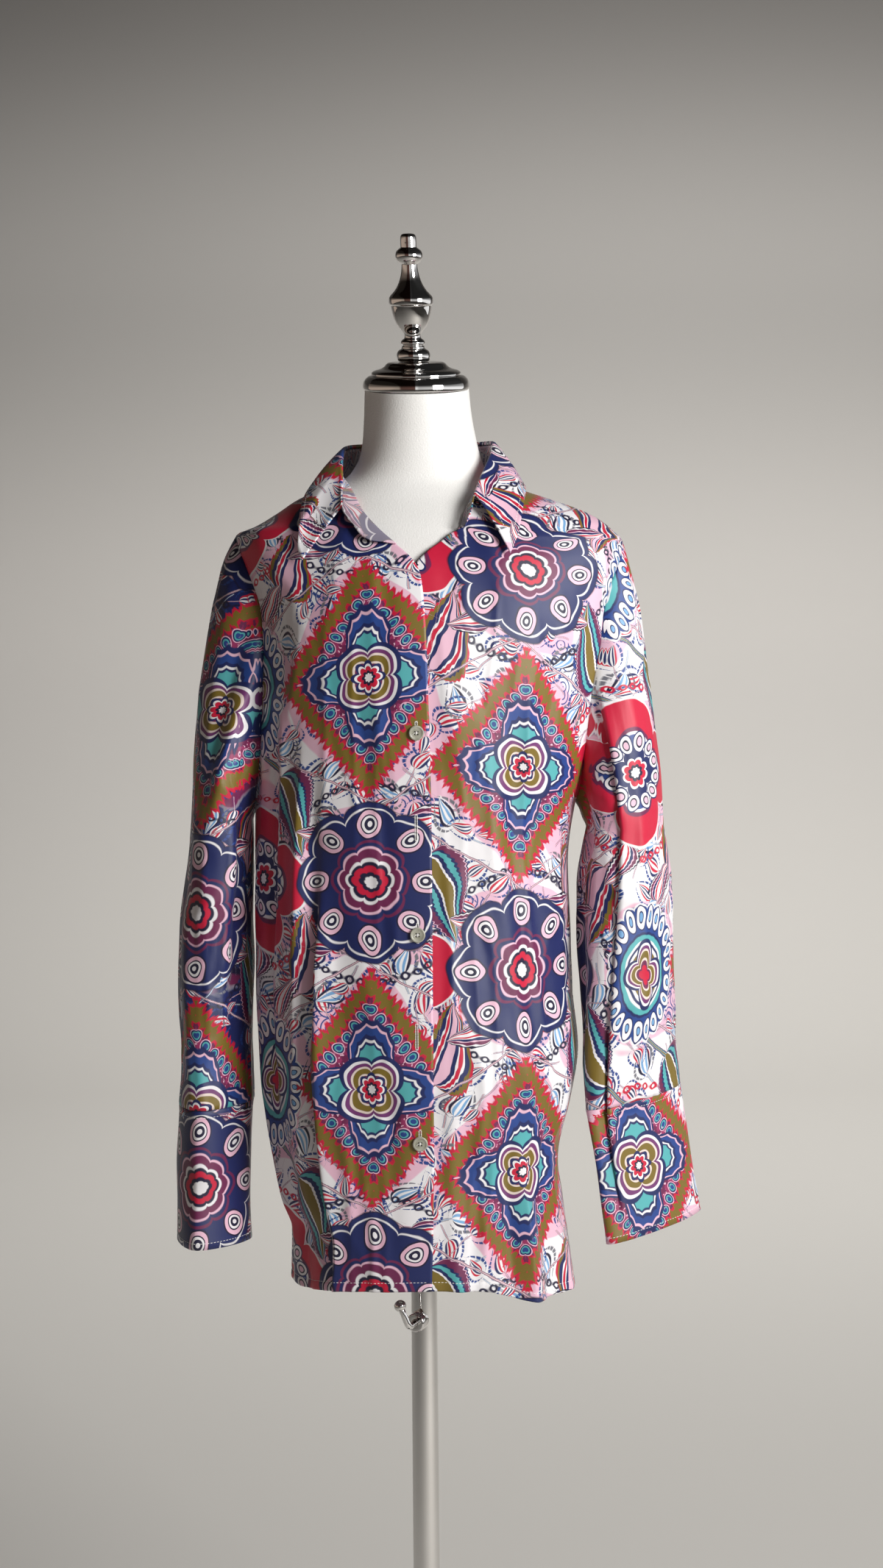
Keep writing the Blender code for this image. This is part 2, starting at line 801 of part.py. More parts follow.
def form_object():
    """The torso as sections from the flat underside to the leaning top of the neck."""
    heights = [row[0] for row in FORM]
    segments = 28
    mesh = bmesh.new()
    rings = []
    for height in heights:
        lean = math.tan(NECK_LEAN) * ramp((height - 1395.0) / 55.0)
        middle = (column(FORM, height, 4) - column(FORM, height, 3)) / 2.0
        ring = []
        for step in range(segments):
            point = section_point(FORM, 360.0 * step / segments, height)
            point.z += (point.y - middle) * lean
            ring.append(mesh.verts.new(point * MM))
        rings.append(ring)
    for low, high in zip(rings, rings[1:]):
        for step in range(segments):
            after = (step + 1) % segments
            mesh.faces.new([low[step], low[after], high[after], high[step]])
    mesh.faces.new(rings[0][::-1])
    mesh.faces.new(rings[-1])
    return finish("form", "form", mesh)


def on_neck(point):
    """From the cap's own upright frame to the top of the leaning neck."""
    middle = Vector((0.0, (FORM[-1][4] - FORM[-1][3]) / 2.0, FORM[-1][0]))
    lean = -NECK_LEAN
    turned = Vector((
        point.x,
        point.y * math.cos(lean) + point.z * math.sin(lean),
        -point.y * math.sin(lean) + point.z * math.cos(lean),
    ))
    seat = Vector((0.0, math.sin(lean), math.cos(lean))) * 0.3
    return middle + turned + seat


def finial_place(point):
    """The finial leans a little to one side of the cap that carries it."""
    side = FINIAL_SIDE + (point.z - FINIAL_PROFILE[0][1]) * math.tan(FINIAL_LEAN)
    return on_neck(point - Vector((side, 0, 0)))


def clamp_frame():
    out = Vector((-math.sin(CLAMP_TURN), -math.cos(CLAMP_TURN), 0.0))
    across = Vector((math.cos(CLAMP_TURN), -math.sin(CLAMP_TURN), 0.0))
    return out, across


def clamp_nut():
    """A round nut on the tube, its inner end cut to the tube's round."""
    out, across = clamp_frame()
    segments = 24
    mesh = bmesh.new()
    rings = []
    steps = ((8.8, None), (8.8, 20.0), (7.8, 21.2), (3.1, 21.2), (3.1, None), (6.2, None))
    for radius, reach in steps:
        ring = []
        for step in range(segments):
            turn = 2 * math.pi * step / segments
            side = radius * math.cos(turn)
            away = reach or math.sqrt((TUBE_RADIUS + 0.45) ** 2 - side * side)
            point = out * away + across * side
            point.z = CLAMP_HEIGHT + radius * math.sin(turn)
            ring.append(mesh.verts.new(point * MM))
        rings.append(ring)
    for low, high in zip(rings, rings[1:] + rings[:1]):
        for step in range(segments):
            after = (step + 1) % segments
            mesh.faces.new([low[step], low[after], high[after], high[step]])
    return finish("clamp_nut", "chrome", mesh)


def clamp_lever():
    """A bent rod with a ball end: out of the nut, then up."""
    out, across = clamp_frame()
    start = Vector((0, 0, CLAMP_HEIGHT))
    bend = start + out * 33.0 - Vector((0, 0, 1.0))
    rise = Vector((-0.36, -0.10, 0.93)).normalized()
    path = [(start + out * (TUBE_RADIUS + 0.6), 3.0), (start + out * 29.0, 3.0)]
    path.append((bend + rise * 1.2 + out * 0.4, 3.1))
    path.append((bend + rise * 4.4 + out * 0.6, 3.1))
    path.append((bend + rise * 18.5, 2.9))
    for reach, radius in ((19.4, 4.2), (21.6, 5.4), (24.2, 5.6), (27.0, 4.2)):
        path.append((bend + rise * reach, radius))
    segments = 12
    mesh = bmesh.new()
    rings = []
    for number, (centre, radius) in enumerate(path):
        before = path[max(number - 1, 0)][0]
        after = path[min(number + 1, len(path) - 1)][0]
        way = (after - before).normalized()
        side = across - way * across.dot(way)
        side.normalize()
        third = way.cross(side)
        ring = []
        for step in range(segments):
            turn = 2 * math.pi * step / segments
            point = centre + side * (radius * math.cos(turn)) + third * (radius * math.sin(turn))
            ring.append(mesh.verts.new(point * MM))
        rings.append(ring)
    for low, high in zip(rings, rings[1:]):
        for step in range(segments):
            after = (step + 1) % segments
            mesh.faces.new([low[step], low[after], high[after], high[step]])
    mesh.faces.new(rings[0][::-1])
    mesh.faces.new(rings[-1])
    return finish("clamp_lever", "chrome", mesh)


def button_object(name, x, height):
    angle = angle_at(x, height, 1)
    out = body_normal(angle, height)
    seat = cloth_point(angle, height, 1) + out * (WALL / 2.0 + 0.35)
    side = Vector((0, 0, 1)).cross(out).normalized()
    up = out.cross(side)

    def place(point):
        return seat + side * point.x + up * point.y + out * point.z

    return lathe_object(name, "button", BUTTON_PROFILE, 20, place)


def build_cloth():
    front_over = front_grid(True)
    front_under = front_grid(False)
    back = back_grid()
    ring_left = armhole_ring(front_over, back, True)
    ring_right = armhole_ring(front_under, back, False)
    sleeve_l = sleeve_grid(ring_left, SLEEVE_LEFT, HEAD_BULGE_LEFT)
    sleeve_r = sleeve_grid(ring_right, SLEEVE_RIGHT, HEAD_BULGE_RIGHT)
    cuff_l = cuff_grid(sleeve_l[-1], CUFF_LEFT)
    cuff_r = cuff_grid(sleeve_r[-1], CUFF_RIGHT)
    line = neck_line(front_over, back, front_under)

    gap = SEAM_HALF_GAP
    over = shrink_edges(front_over, False, gap, ("end", "top"))
    under = shrink_edges(front_under, False, gap, ("end", "top"))
    rear = shrink_edges(back, False, gap, ("start", "end"))
    normals = [outward_normals(grid, False, body_way) for grid in (over, under, rear)]
    sets = (
        ("right", sleeve_l, cuff_l, normals[0], 0),
        ("left", sleeve_r, cuff_r, normals[1], -1),
    )
    for name, tube, cuff, front_normals, rear_edge in sets:
        ring = tube[0]
        tube = shrink_edges(tube, True, 0.9, ("bottom",))
        tube = shrink_edges(tube, True, 0.3, ("top",))
        cuff = shrink_edges(cuff, True, 0.3, ("bottom",))
        tube_normals = outward_normals(tube, True, tube_way)
        joined = [mitre(a, body_way(b, None)) for a, b in zip(tube_normals[0], ring)]
        tube_normals[0] = joined
        share_normals(joined, front_normals, normals[2], rear_edge)
        sheet_object("sleeve_" + name, "cloth", tube, True, tube_normals)
        sheet_object("cuff_" + name, "cloth", cuff, True)
    sheet_object("front_right", "cloth", over, False, normals[0])
    sheet_object("front_left", "cloth", under, False, normals[1])
    sheet_object("back", "cloth", rear, False, normals[2])
    sheet_object("collar_stand", "cloth", stand_grid(line), False)
    sheet_object("collar_leaf", "cloth", leaf_grid(line), False)


def build_stand():
    form_object()
    lathe_object("neck_cap", "chrome", CAP_PROFILE, 32, on_neck)
    lathe_object("finial", "chrome", FINIAL_PROFILE, 16, finial_place)
    tube = [
        (TUBE_BORE, 5.3),
        (TUBE_RADIUS, 5.3),
        (TUBE_RADIUS, TUBE_TOP - 0.6),
        (TUBE_RADIUS - 0.4, TUBE_TOP),
        (TUBE_BORE, TUBE_TOP),
    ]
    lathe_object("pole_tube", "chrome", tube, 32)
    mast = [
        (0.0, 412.0),
        (MAST_RADIUS - 0.6, 412.0),
        (MAST_RADIUS, 413.0),
        (MAST_RADIUS, FORM_BOTTOM - 5.3),
        (38.0, FORM_BOTTOM - 5.3),
        (38.0, FORM_BOTTOM - 0.3),
        (0.0, FORM_BOTTOM - 0.3),
    ]
    lathe_object("mast", "chrome", mast, 32)
    clamp_nut()
    clamp_lever()
    lathe_object("stand_base", "chrome", BASE_PROFILE, 48)


def main():
    for thing in list(bpy.data.objects):
        bpy.data.objects.remove(thing)
    build_cloth()
    build_stand()
    for number, (x, height) in enumerate(BUTTON_PLACES):
        button_object("button_" + str(number + 1), x, height)


main()
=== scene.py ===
"""Looks of a shirt blouse worn by a limbless dress form on a height-set stand.

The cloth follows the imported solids: the same sections, seams and edges, cut finer and
with the folds that a soft cloth takes. Tables are in millimetres, the scene in metres.
Heights are above the floor; on the body, angle 0 is the +X side and 90 the front.
"""

import math

import bmesh
import bpy
import numpy as np
from mathutils import Euler, Matrix, Vector


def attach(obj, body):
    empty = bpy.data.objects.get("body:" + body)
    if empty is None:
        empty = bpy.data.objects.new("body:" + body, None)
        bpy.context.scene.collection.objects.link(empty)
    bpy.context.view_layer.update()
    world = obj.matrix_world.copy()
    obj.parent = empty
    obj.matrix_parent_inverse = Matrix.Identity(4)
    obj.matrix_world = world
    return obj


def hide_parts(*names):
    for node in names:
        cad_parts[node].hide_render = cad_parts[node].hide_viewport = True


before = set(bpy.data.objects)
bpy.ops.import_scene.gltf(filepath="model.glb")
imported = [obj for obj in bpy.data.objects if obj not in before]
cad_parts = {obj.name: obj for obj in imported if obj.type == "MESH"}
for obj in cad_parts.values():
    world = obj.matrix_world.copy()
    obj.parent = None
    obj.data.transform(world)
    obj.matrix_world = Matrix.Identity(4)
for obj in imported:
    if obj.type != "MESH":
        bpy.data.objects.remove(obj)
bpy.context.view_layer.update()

MM = 0.001
FULL_TURN = 6.2832

# Cloth
WALL = 1.2
BODY_POWER = 2.1
LAP_STEP = 1.15
LAP_REACH = 16.0
LAP_FADE = 16.0
SEAM_HALF_GAP = 0.15
ARMHOLE_GAP = 0.4
# on the lap the creases start this far from the centre and are whole after the second length
LAP_PLAIN = (12.0, 14.0)
LAP_CALM = (10.0, 20.0)
# above the first height the creases fade over the second length, under the collar
COLLAR_CALM = (1345.0, 40.0)

# Heights and counts that the sheets share
UNDERARM = 1072.0
LAP_NECK_START = 1300.0
UNDER_NECK_START = 1316.5
CUFF_MIDDLE = 735.0
NECK_TOP = 1368.0
TIP_LEFT = 1318.0
TIP_RIGHT = 1311.0
ARMHOLE_DEPTH_FRONT = 44.0
ARMHOLE_DEPTH_BACK = 50.0
LOWER_ROWS = 90
ARMHOLE_ROWS = 44
SHOULDER_ROWS = 20
FRONT_COLUMNS = 112
BACK_COLUMNS = 180
FAN_ROWS = 34
HANG_ROWS = 64
CUFF_ROWS = 22
LEAF_ROWS = 16
LEAF_COLUMNS = 190
STAND_ROWS = 12
STAND_COLUMNS = 180

# height, right half width, left half width, front depth, back depth
BODY = [
    (620, 139.0, 119.0, 90.0, 104.0), (637, 137.0, 120.0, 90.0, 104.0),
    (683, 131.0, 120.0, 91.0, 105.0), (712, 126.5, 130.0, 92.0, 106.0),
    (748, 121.5, 138.0, 94.0, 108.0), (797, 136.0, 145.5, 100.0, 113.0),
    (845, 143.5, 148.0, 105.0, 119.0), (900, 138.5, 151.0, 105.0, 118.0),
    (955, 137.0, 151.5, 102.0, 112.0), (1012, 135.0, 151.5, 100.0, 104.0),
    (1066, 141.5, 151.5, 103.0, 100.0), (1088, 149.0, 151.2, 105.0, 99.5),
    (1131, 160.0, 150.8, 110.0, 99.0), (1177, 168.0, 150.3, 114.5, 99.0),
    (1213, 175.0, 149.0, 114.5, 98.0), (1250, 179.0, 151.0, 109.0, 96.0),
    (1277, 185.0, 158.5, 101.5, 93.0), (1291, 189.0, 162.5, 96.5, 91.0),
    (1311, 188.0, 167.0, 86.0, 86.0), (1318, 181.5, 167.0, 82.0, 84.5),
    (1326, 173.0, 149.5, 77.5, 82.0), (1338, 151.0, 128.5, 69.5, 77.0),
    (1349, 121.0, 112.0, 62.5, 72.0), (1357, 97.0, 95.0, 58.5, 68.0),
    (1364, 80.0, 79.0, 56.0, 64.0), (1368, 73.0, 73.0, 55.0, 62.0),
]

# height, right half width, left half width, front depth, back depth
FORM = [
    (805, 122.0, 122.0, 84.0, 98.0), (809, 129.0, 129.0, 89.0, 103.0),
    (820, 133.0, 133.0, 93.0, 107.0), (850, 136.0, 136.0, 97.0, 111.0),
    (900, 131.0, 132.0, 95.0, 108.0), (955, 118.0, 119.0, 87.0, 97.0),
    (1012, 105.0, 106.0, 81.0, 84.0), (1066, 106.0, 107.0, 86.0, 82.0),
    (1131, 122.0, 122.0, 101.0, 89.0), (1177, 137.0, 137.0, 108.5, 92.0),
    (1213, 143.0, 142.0, 108.5, 92.0), (1250, 148.0, 146.0, 103.0, 90.0),
    (1291, 154.0, 154.0, 90.5, 86.0), (1311, 154.0, 154.0, 82.0, 82.5),
    (1318, 152.0, 153.0, 78.5, 81.5), (1326, 146.4, 146.7, 74.4, 79.2),
    (1338, 134.2, 125.6, 66.9, 74.4), (1349, 117.9, 109.1, 60.0, 69.6),
    (1357, 93.9, 92.0, 56.0, 65.6), (1364, 76.6, 75.7, 52.8, 61.0), (1369, 69.4, 67.0, 52.6, 59.4),
    (1377, 63.5, 59.5, 53.0, 57.0), (1388, 59.0, 53.5, 53.5, 53.5), (1405, 54.8, 50.0, 55.0, 48.0),
    (1431, 50.2, 48.4, 58.5, 40.5), (1450, 48.4, 47.8, 61.5, 35.5),
]

# height at rest of the hem: angle, height
HEM = [
    (-180, 637), (-90, 632), (0, 627), (40, 629), (65, 643), (90, 646), (125, 643), (160, 634),
    (180, 637),
]

# height, edge of the lap and of the neck on the sheet that laps over
LAP_EDGE = [
    (620, 7.0), (645, 7.6), (683, 9.0), (790, 10.8), (1050, 11.0), (1180, 9.0), (1220, 8.0),
    (1255, 5.8), (1277, 3.2), (1287, -1.6), (1291, -4.5), (1297, -10.5), (1302, -16.5),
    (1308, -23.5), (1323.5, -39.0), (1334, -47.5), (1354, -57.5), (1360, -61.0), (1364, -64.0),
    (1368, -66.5),
]

# height, edge of the sheet that lies under and of its side of the neck
UNDER_EDGE = [
    (620, -14.0), (1262, -14.0), (1275, -11.0), (1287, -1.6), (1293, 4.0), (1299, 10.0),
    (1307, 21.0), (1313, 28.5), (1318.5, 38.9), (1330, 42.0), (1349, 51.0), (1358, 58.5),
    (1364, 63.5), (1368, 66.5),
]

# top angle, top height, bottom angle, bottom height, outward size, half width in degrees
FOLDS = [
    (124, 1010, 129, 600, 5.0, 6.0), (134, 1000, 137, 600, -3.5, 6.0),
    (143, 1160, 151, 850, -4.0, 7.0), (131, 1140, 136, 900, 3.0, 6.0),
    (55, 1150, 30, 760, -4.0, 7.0), (66, 1150, 48, 740, 2.5, 7.0), (38, 780, 46, 600, 4.0, 7.0),
    (75, 820, 66, 600, -2.5, 7.0), (-30, 1180, -34, 600, 3.5, 8.0),
    (-58, 1160, -52, 600, -3.5, 9.0), (-82, 1120, -86, 600, 3.0, 8.0),
    (-112, 1150, -108, 600, -3.5, 9.0), (-140, 1170, -146, 600, 3.5, 8.0),
]

# azimuth, x, y, z of the fold between the stand and the leaf
COLLAR_FOLD = [
    (-14, -27.5, -93.5, 1306.0), (-20, -38.0, -93.0, 1307.0), (-27, -47.0, -90.5, 1311.0),
    (-34, -56.0, -84.0, 1322.0), (-46, -67.0, -71.0, 1339.0), (-58, -67.5, -49.0, 1361.0),
    (-74, -67.5, -24.0, 1384.0), (-94, -66.0, -2.0, 1398.0), (-130, -50.0, 39.0, 1405.0),
    (-180, 0.0, 60.0, 1408.0), (-230, 50.0, 39.0, 1406.0), (-266, 69.5, -2.0, 1402.5),
    (-286, 67.5, -24.0, 1391.0), (-302, 60.5, -47.0, 1374.0), (-312, 54.5, -63.0, 1359.0),
    (-320, 51.0, -75.0, 1348.0), (-328, 48.0, -85.0, 1333.0), (-334, 43.0, -90.5, 1320.0),
]

# azimuth, x, z, side (1 front, -1 back), lift of the leaf's outer edge
LEAF_EDGE = [
    (-46, -99.5, 1289.5, 1, 5.0), (-58, -104.0, 1303.0, 1, 5.0), (-74, -103.0, 1329.0, 1, 5.0),
    (-90, -98.0, 1350.0, 1, 5.5), (-104, -94.0, 1355.0, -1, 6.5), (-130, -72.0, 1354.0, -1, 8.5),
    (-180, 0.0, 1360.0, -1, 12.0), (-230, 72.0, 1354.0, -1, 8.5), (-256, 94.0, 1356.0, -1, 6.5),
    (-270, 96.5, 1352.0, 1, 5.5), (-286, 93.5, 1333.0, 1, 5.0), (-302, 88.5, 1310.0, 1, 5.0),
    (-320, 80.8, 1292.5, 1, 7.0),
]

LEAF_START = -46.0
LEAF_END = -320.0

# right and left are the picture's here: its left is the wearer's right
# height, centre x, centre y, long half, short half, turn in degrees, slope, power
SLEEVE_RIGHT = [
    (1048, 187.5, 0.0, 57.5, 34.5, 89.0, 0.0, 2.0), (1001, 188.0, 0.0, 56.0, 41.5, 82.0, 0.0, 2.0),
    (961, 188.5, 0.0, 56.0, 43.0, 72.0, 0.0, 2.0), (907, 189.5, -2.0, 57.0, 38.0, 56.0, 0.03, 2.0),
    (850, 191.5, -4.0, 57.0, 29.0, 46.0, 0.07, 2.0),
    (799, 195.0, -6.0, 58.0, 20.0, 40.0, 0.11, 2.0),
]
SLEEVE_LEFT = [
    (1055, -182.7, 0.0, 57.5, 27.4, 90.0, 0.0, 2.0),
    (1001, -185.2, 0.0, 56.0, 29.6, 87.0, 0.0, 2.0),
    (955, -188.5, 0.0, 55.0, 32.0, 84.0, 0.0, 2.0), (901, -190.0, 0.0, 53.0, 33.0, 80.0, 0.0, 1.9),
    (844, -189.8, 0.0, 51.0, 31.0, 78.0, 0.0, 1.8),
    (798, -190.3, -2.0, 50.0, 32.0, 77.0, 0.0, 1.7),
]
CUFF_RIGHT = [
    (798, 195.5, -6.0, 58.0, 15.0, 38.0, 0.11, 1.8),
    (758, 201.0, -6.0, 57.5, 14.5, 38.0, 0.12, 1.8),
    (718, 207.0, -5.5, 57.0, 14.0, 38.0, 0.13, 1.8),
    (678.5, 213.0, -5.0, 57.0, 14.0, 38.0, 0.14, 1.8),
]
CUFF_LEFT = [
    (797, -190.5, -2.0, 48.0, 32.0, 76.0, 0.0, 1.6),
    (755, -191.5, -1.0, 48.0, 33.0, 76.0, 0.0, 1.55),
    (713, -192.5, -1.0, 48.0, 34.0, 76.0, 0.0, 1.5),
    (671.5, -193.0, -1.0, 48.5, 35.0, 75.0, 0.0, 1.5),
]
# outward and upward swell of each sleeve's head
HEAD_BULGE_RIGHT = (5.5, 74.0)
HEAD_BULGE_LEFT = (13.5, 76.0)

# how much deeper the drag lines are than their table says
DRAG_GAIN = 1.3
TUBE_RADIUS = 12.2
CLAMP_HEIGHT = 595.0
CLAMP_TURN = math.radians(24.0)
CLAMP_OUT = Vector((-math.sin(CLAMP_TURN), -math.cos(CLAMP_TURN), 0.0))
CLAMP_ACROSS = Vector((math.cos(CLAMP_TURN), -math.sin(CLAMP_TURN), 0.0))
NECK_LEAN = math.radians(12.0)
# the neck of the form starts to lean here
LEAN_START = 1395.0
FINIAL_LEAN = math.radians(2.0)
FINIAL_SIDE = 2.0

BASE_PROFILE = [
    (0.0, 0.0), (149.0, 0.0), (150.0, 1.0), (150.0, 6.0), (147.5, 8.0), (24.0, 9.2), (21.0, 11.5),
    (19.5, 24.0), (18.5, 25.0), (12.5, 25.0), (12.5, 5.0), (0.0, 5.0),
]
# radius, height above the cloth
BUTTON_PROFILE = [
    (0.0, 0.0), (5.8, 0.0), (6.7, 0.8), (6.7, 1.7), (6.1, 2.3), (5.2, 2.2), (4.4, 1.7), (0.0, 1.6),
]
# radius, height above the neck's top
CAP_PROFILE = [
    (0.0, 0.0), (47.6, 0.0), (49.1, 1.4), (49.2, 4.2), (48.5, 7.6), (46.6, 10.6), (43.6, 12.8),
    (41.0, 13.4), (41.4, 14.6), (40.9, 16.2), (37.6, 18.0), (32.4, 19.2), (29.2, 21.2),
    (27.0, 24.0), (24.0, 25.4), (0.0, 25.4),
]
FINIAL_PROFILE = [
    (0.0, 25.7), (13.6, 25.7), (15.3, 28.2), (15.7, 31.4), (14.6, 34.8), (12.0, 36.8),
    (10.6, 37.3), (10.6, 39.2), (9.4, 39.9), (9.4, 40.7), (11.0, 41.6), (11.2, 43.4), (10.0, 45.2),
    (7.7, 46.6), (7.3, 49.0), (8.2, 51.4), (11.6, 55.4), (14.8, 60.4), (17.0, 66.2), (18.2, 72.4),
    (18.5, 76.4), (20.0, 77.4), (20.4, 80.2), (20.1, 83.4), (18.4, 85.6), (14.4, 89.8),
    (11.0, 95.4), (8.7, 102.2), (7.5, 108.6), (7.2, 113.4), (9.8, 115.0), (12.2, 118.2),
    (12.7, 121.4), (11.4, 125.0), (8.6, 127.2), (7.4, 127.8), (7.4, 137.0), (6.4, 139.4),
    (4.4, 140.4), (0.0, 140.6),
]
# radius, height above the floor
TUBE_PROFILE = [
    (11.0, 5.3), (12.2, 5.3), (12.2, 661.4), (11.8, 662.0), (11.0, 662.0), (11.0, 5.3),
]
MAST_PROFILE = [
    (0.0, 412.0), (10.35, 412.0), (10.95, 413.0), (10.95, 799.7), (38.0, 799.7), (38.0, 804.7),
    (0.0, 804.7),
]
# radius, reach out from the pole's axis
NUT_PROFILE = [
    (3.1, 9.0), (8.8, 9.0), (8.8, 20.0), (7.8, 21.2), (3.1, 21.2), (3.1, 9.0),
]

HEM_DEEP = 8.0
# from bottom up, in millimetres above the hem: rows that shape its turned edge
HEM_STEPS = [0.0, 1.5, 3.5, 5.5, 7.0, 8.0, 9.0, 11.0, 15.0]

# kind, top angle, top height, bottom angle, bottom height, outward size, reach
BODY_CREASES = [
    ("pleat", 124.5, 1030, 128.5, 600, 5.6, 8.0), ("sharp", 131.5, 1150, 139.0, 780, 4.8, 6.5),
    ("soft", 127.0, 1120, 131.0, 760, -4.4, 7.0), ("sharp", 141.0, 1180, 150.5, 860, 5.6, 7.5),
    ("soft", 147.0, 1190, 156.0, 840, -5.6, 8.5), ("soft", 117.0, 900, 119.0, 610, 2.1, 9.0),
    ("sharp", 112.0, 820, 108.0, 610, 1.5, 5.0), ("sharp", 57.0, 1190, 33.0, 760, 3.4, 5.5),
    ("soft", 62.0, 1180, 40.0, 760, -2.4, 7.0), ("sharp", 44.0, 800, 47.0, 600, 4.6, 6.5),
    ("soft", 52.0, 830, 55.0, 600, -2.7, 8.0), ("soft", 35.0, 760, 38.0, 600, -2.7, 7.0),
    ("sharp", 72.0, 1020, 66.0, 700, 1.7, 5.0), ("soft", 80.0, 860, 77.0, 610, 1.5, 8.0),
    ("sharp", 25.0, 1090, 20.0, 700, 2.4, 7.0), ("sharp", 168.0, 1060, 166.0, 700, 2.4, 7.0),
    ("pleat", -36.0, 1120, -40.0, 610, -3.8, 9.0), ("sharp", -28.0, 1180, -24.0, 700, 3.3, 8.0),
    ("soft", -50.0, 1090, -47.0, 610, 2.7, 9.0), ("sharp", -66.0, 1000, -61.0, 610, 2.2, 6.0),
    ("sharp", -79.0, 1150, -83.0, 720, 2.7, 7.0), ("soft", -93.0, 1060, -96.0, 610, -3.0, 10.0),
    ("sharp", -104.0, 1130, -99.0, 800, 2.4, 6.0), ("sharp", -121.0, 1170, -126.0, 640, 3.6, 8.0),
    ("soft", -133.0, 1060, -131.0, 610, -3.3, 9.0), ("sharp", -150.0, 1150, -154.0, 700, 3.0, 7.0),
]

# side seen (1 front, -1 back), x and height at the start, x and height at the end, size, reach
SHORT_CREASES = [
    (1, -36, 1180, -22, 1010, 1.0, 3.5), (1, -60, 1195, -48, 1060, -1.1, 5.0),
    (1, -104, 1260, -122, 1130, 2.2, 6.0), (1, -116, 1262, -136, 1150, -2.2, 6.0),
    (1, -84, 1150, -96, 1015, 1.3, 4.5), (1, -100, 985, -76, 900, 1.3, 4.5),
    (1, -66, 905, -84, 800, -1.1, 5.0), (1, -20, 900, -52, 800, 1.1, 4.0),
    (1, -12, 858, -40, 752, -1.3, 4.0), (1, -30, 780, -86, 690, 1.3, 4.5),
    (1, -70, 700, -40, 640, 1.0, 4.5), (1, 28, 1150, 34, 990, 1.1, 4.0),
    (1, 46, 1215, 62, 1080, -1.3, 5.0), (1, 104, 1262, 92, 1140, 1.8, 5.5),
    (1, 122, 1240, 104, 1110, -1.8, 6.0), (1, 40, 1010, 74, 880, 1.5, 4.5),
    (1, 52, 965, 92, 850, -1.4, 5.0), (1, 22, 915, 60, 806, 1.4, 4.0),
    (1, 66, 850, 84, 735, 1.5, 4.5), (1, 36, 800, 50, 690, -1.3, 5.0),
    (1, 58, 726, 38, 640, 1.3, 4.5), (1, 96, 742, 112, 650, 1.4, 5.0),
    (1, 112, 800, 94, 700, -1.4, 5.0), (-1, -70, 1230, -30, 1120, 1.8, 6.0),
    (-1, 66, 1240, 34, 1105, -1.8, 6.0), (-1, -104, 1190, -80, 1040, 1.8, 5.5),
    (-1, 100, 1180, 84, 1030, 1.7, 5.5), (-1, -34, 1010, -62, 880, 1.4, 5.0),
    (-1, 20, 980, 48, 850, -1.4, 5.0), (-1, 84, 900, 56, 780, 1.5, 5.0),
    (-1, -96, 860, -66, 730, -1.4, 5.0), (-1, -20, 800, 12, 690, 1.3, 4.5),
    (1, -196, 1120, -166, 1070, 3.4, 6.0), (1, -222, 1062, -180, 1030, 2.8, 5.5),
    (1, -172, 1010, -226, 950, 2.5, 6.0), (1, -168, 930, -214, 900, -2.2, 6.0),
    (1, -176, 868, -226, 838, 2.0, 5.5), (1, 148, 1090, 196, 1050, 2.5, 6.0),
    (1, 158, 1010, 214, 960, 2.2, 6.0), (1, 226, 920, 172, 880, 2.1, 6.0),
    (1, 160, 850, 214, 822, -1.8, 5.5), (1, 182, 772, 232, 716, 1.4, 4.5),
    (1, -226, 770, -184, 716, 1.4, 4.5), (-1, -226, 1080, -168, 1030, 3.1, 6.0),
    (-1, -170, 960, -228, 920, 2.5, 6.0), (-1, 152, 1070, 214, 1020, 2.8, 6.0),
    (-1, 226, 960, 160, 900, 2.5, 6.0), (-1, 170, 850, 230, 820, -2.0, 5.5),
]

# kind, top turn, top height, bottom turn, bottom height, outward size, reach
SLEEVE_CREASES = {
    "left": [
        ("pleat", 93.0, 1330, 104.0, 690, 3.6, 6.5), ("soft", 60.0, 1240, 70.0, 820, 1.6, 9.0),
        ("sharp", 128.0, 1200, 134.0, 840, 3.2, 8.0),
        ("soft", 148.0, 1150, 158.0, 840, -3.6, 10.0),
        ("sharp", 20.0, 1150, 12.0, 820, 1.8, 8.0), ("soft", -30.0, 1220, -40.0, 820, 2.0, 9.0),
        ("sharp", -82.0, 1260, -90.0, 820, 2.0, 7.0),
        ("soft", -120.0, 1180, -130.0, 830, -2.0, 9.0),
    ],
    "right": [
        ("sharp", 91.0, 1315, 84.0, 1070, 5.5, 9.0), ("soft", 66.0, 1290, 62.0, 1080, -4.2, 12.0),
        ("soft", 114.0, 1290, 116.0, 1090, -3.4, 10.0),
        ("sharp", 122.0, 1095, 110.0, 860, 5.0, 9.0),
        ("soft", 142.0, 1090, 136.0, 860, -5.0, 10.0), ("sharp", 74.0, 1040, 96.0, 870, 2.6, 7.0),
        ("sharp", 50.0, 1060, 58.0, 820, 2.0, 7.0), ("soft", 20.0, 1120, 30.0, 820, -1.8, 9.0),
        ("sharp", -20.0, 1200, -12.0, 830, 2.0, 8.0), ("soft", -62.0, 1240, -58.0, 830, 2.0, 9.0),
        ("sharp", -100.0, 1200, -108.0, 820, 2.2, 7.0),
    ],
}

# turns across a metre in x, y and height, and size, of the slow waves in the cloth
WAVES = [
    (9.0, 4.0, 3.0, 0.50), (-6.0, 7.0, 5.0, 0.50), (15.0, -6.0, 4.0, 0.30),
    (-11.0, 9.0, -8.0, 0.26), (21.0, 13.0, 9.0, 0.16), (5.0, -17.0, 16.0, 0.16),
]
# ridges that wander down the cloth: turns across a metre, lean, wander, size
RIDGES = [
    (17.0, 1.5, 0.55, 1.55), (23.0, -3.5, 0.70, 1.15), (11.0, 5.5, 0.60, 1.40),
]

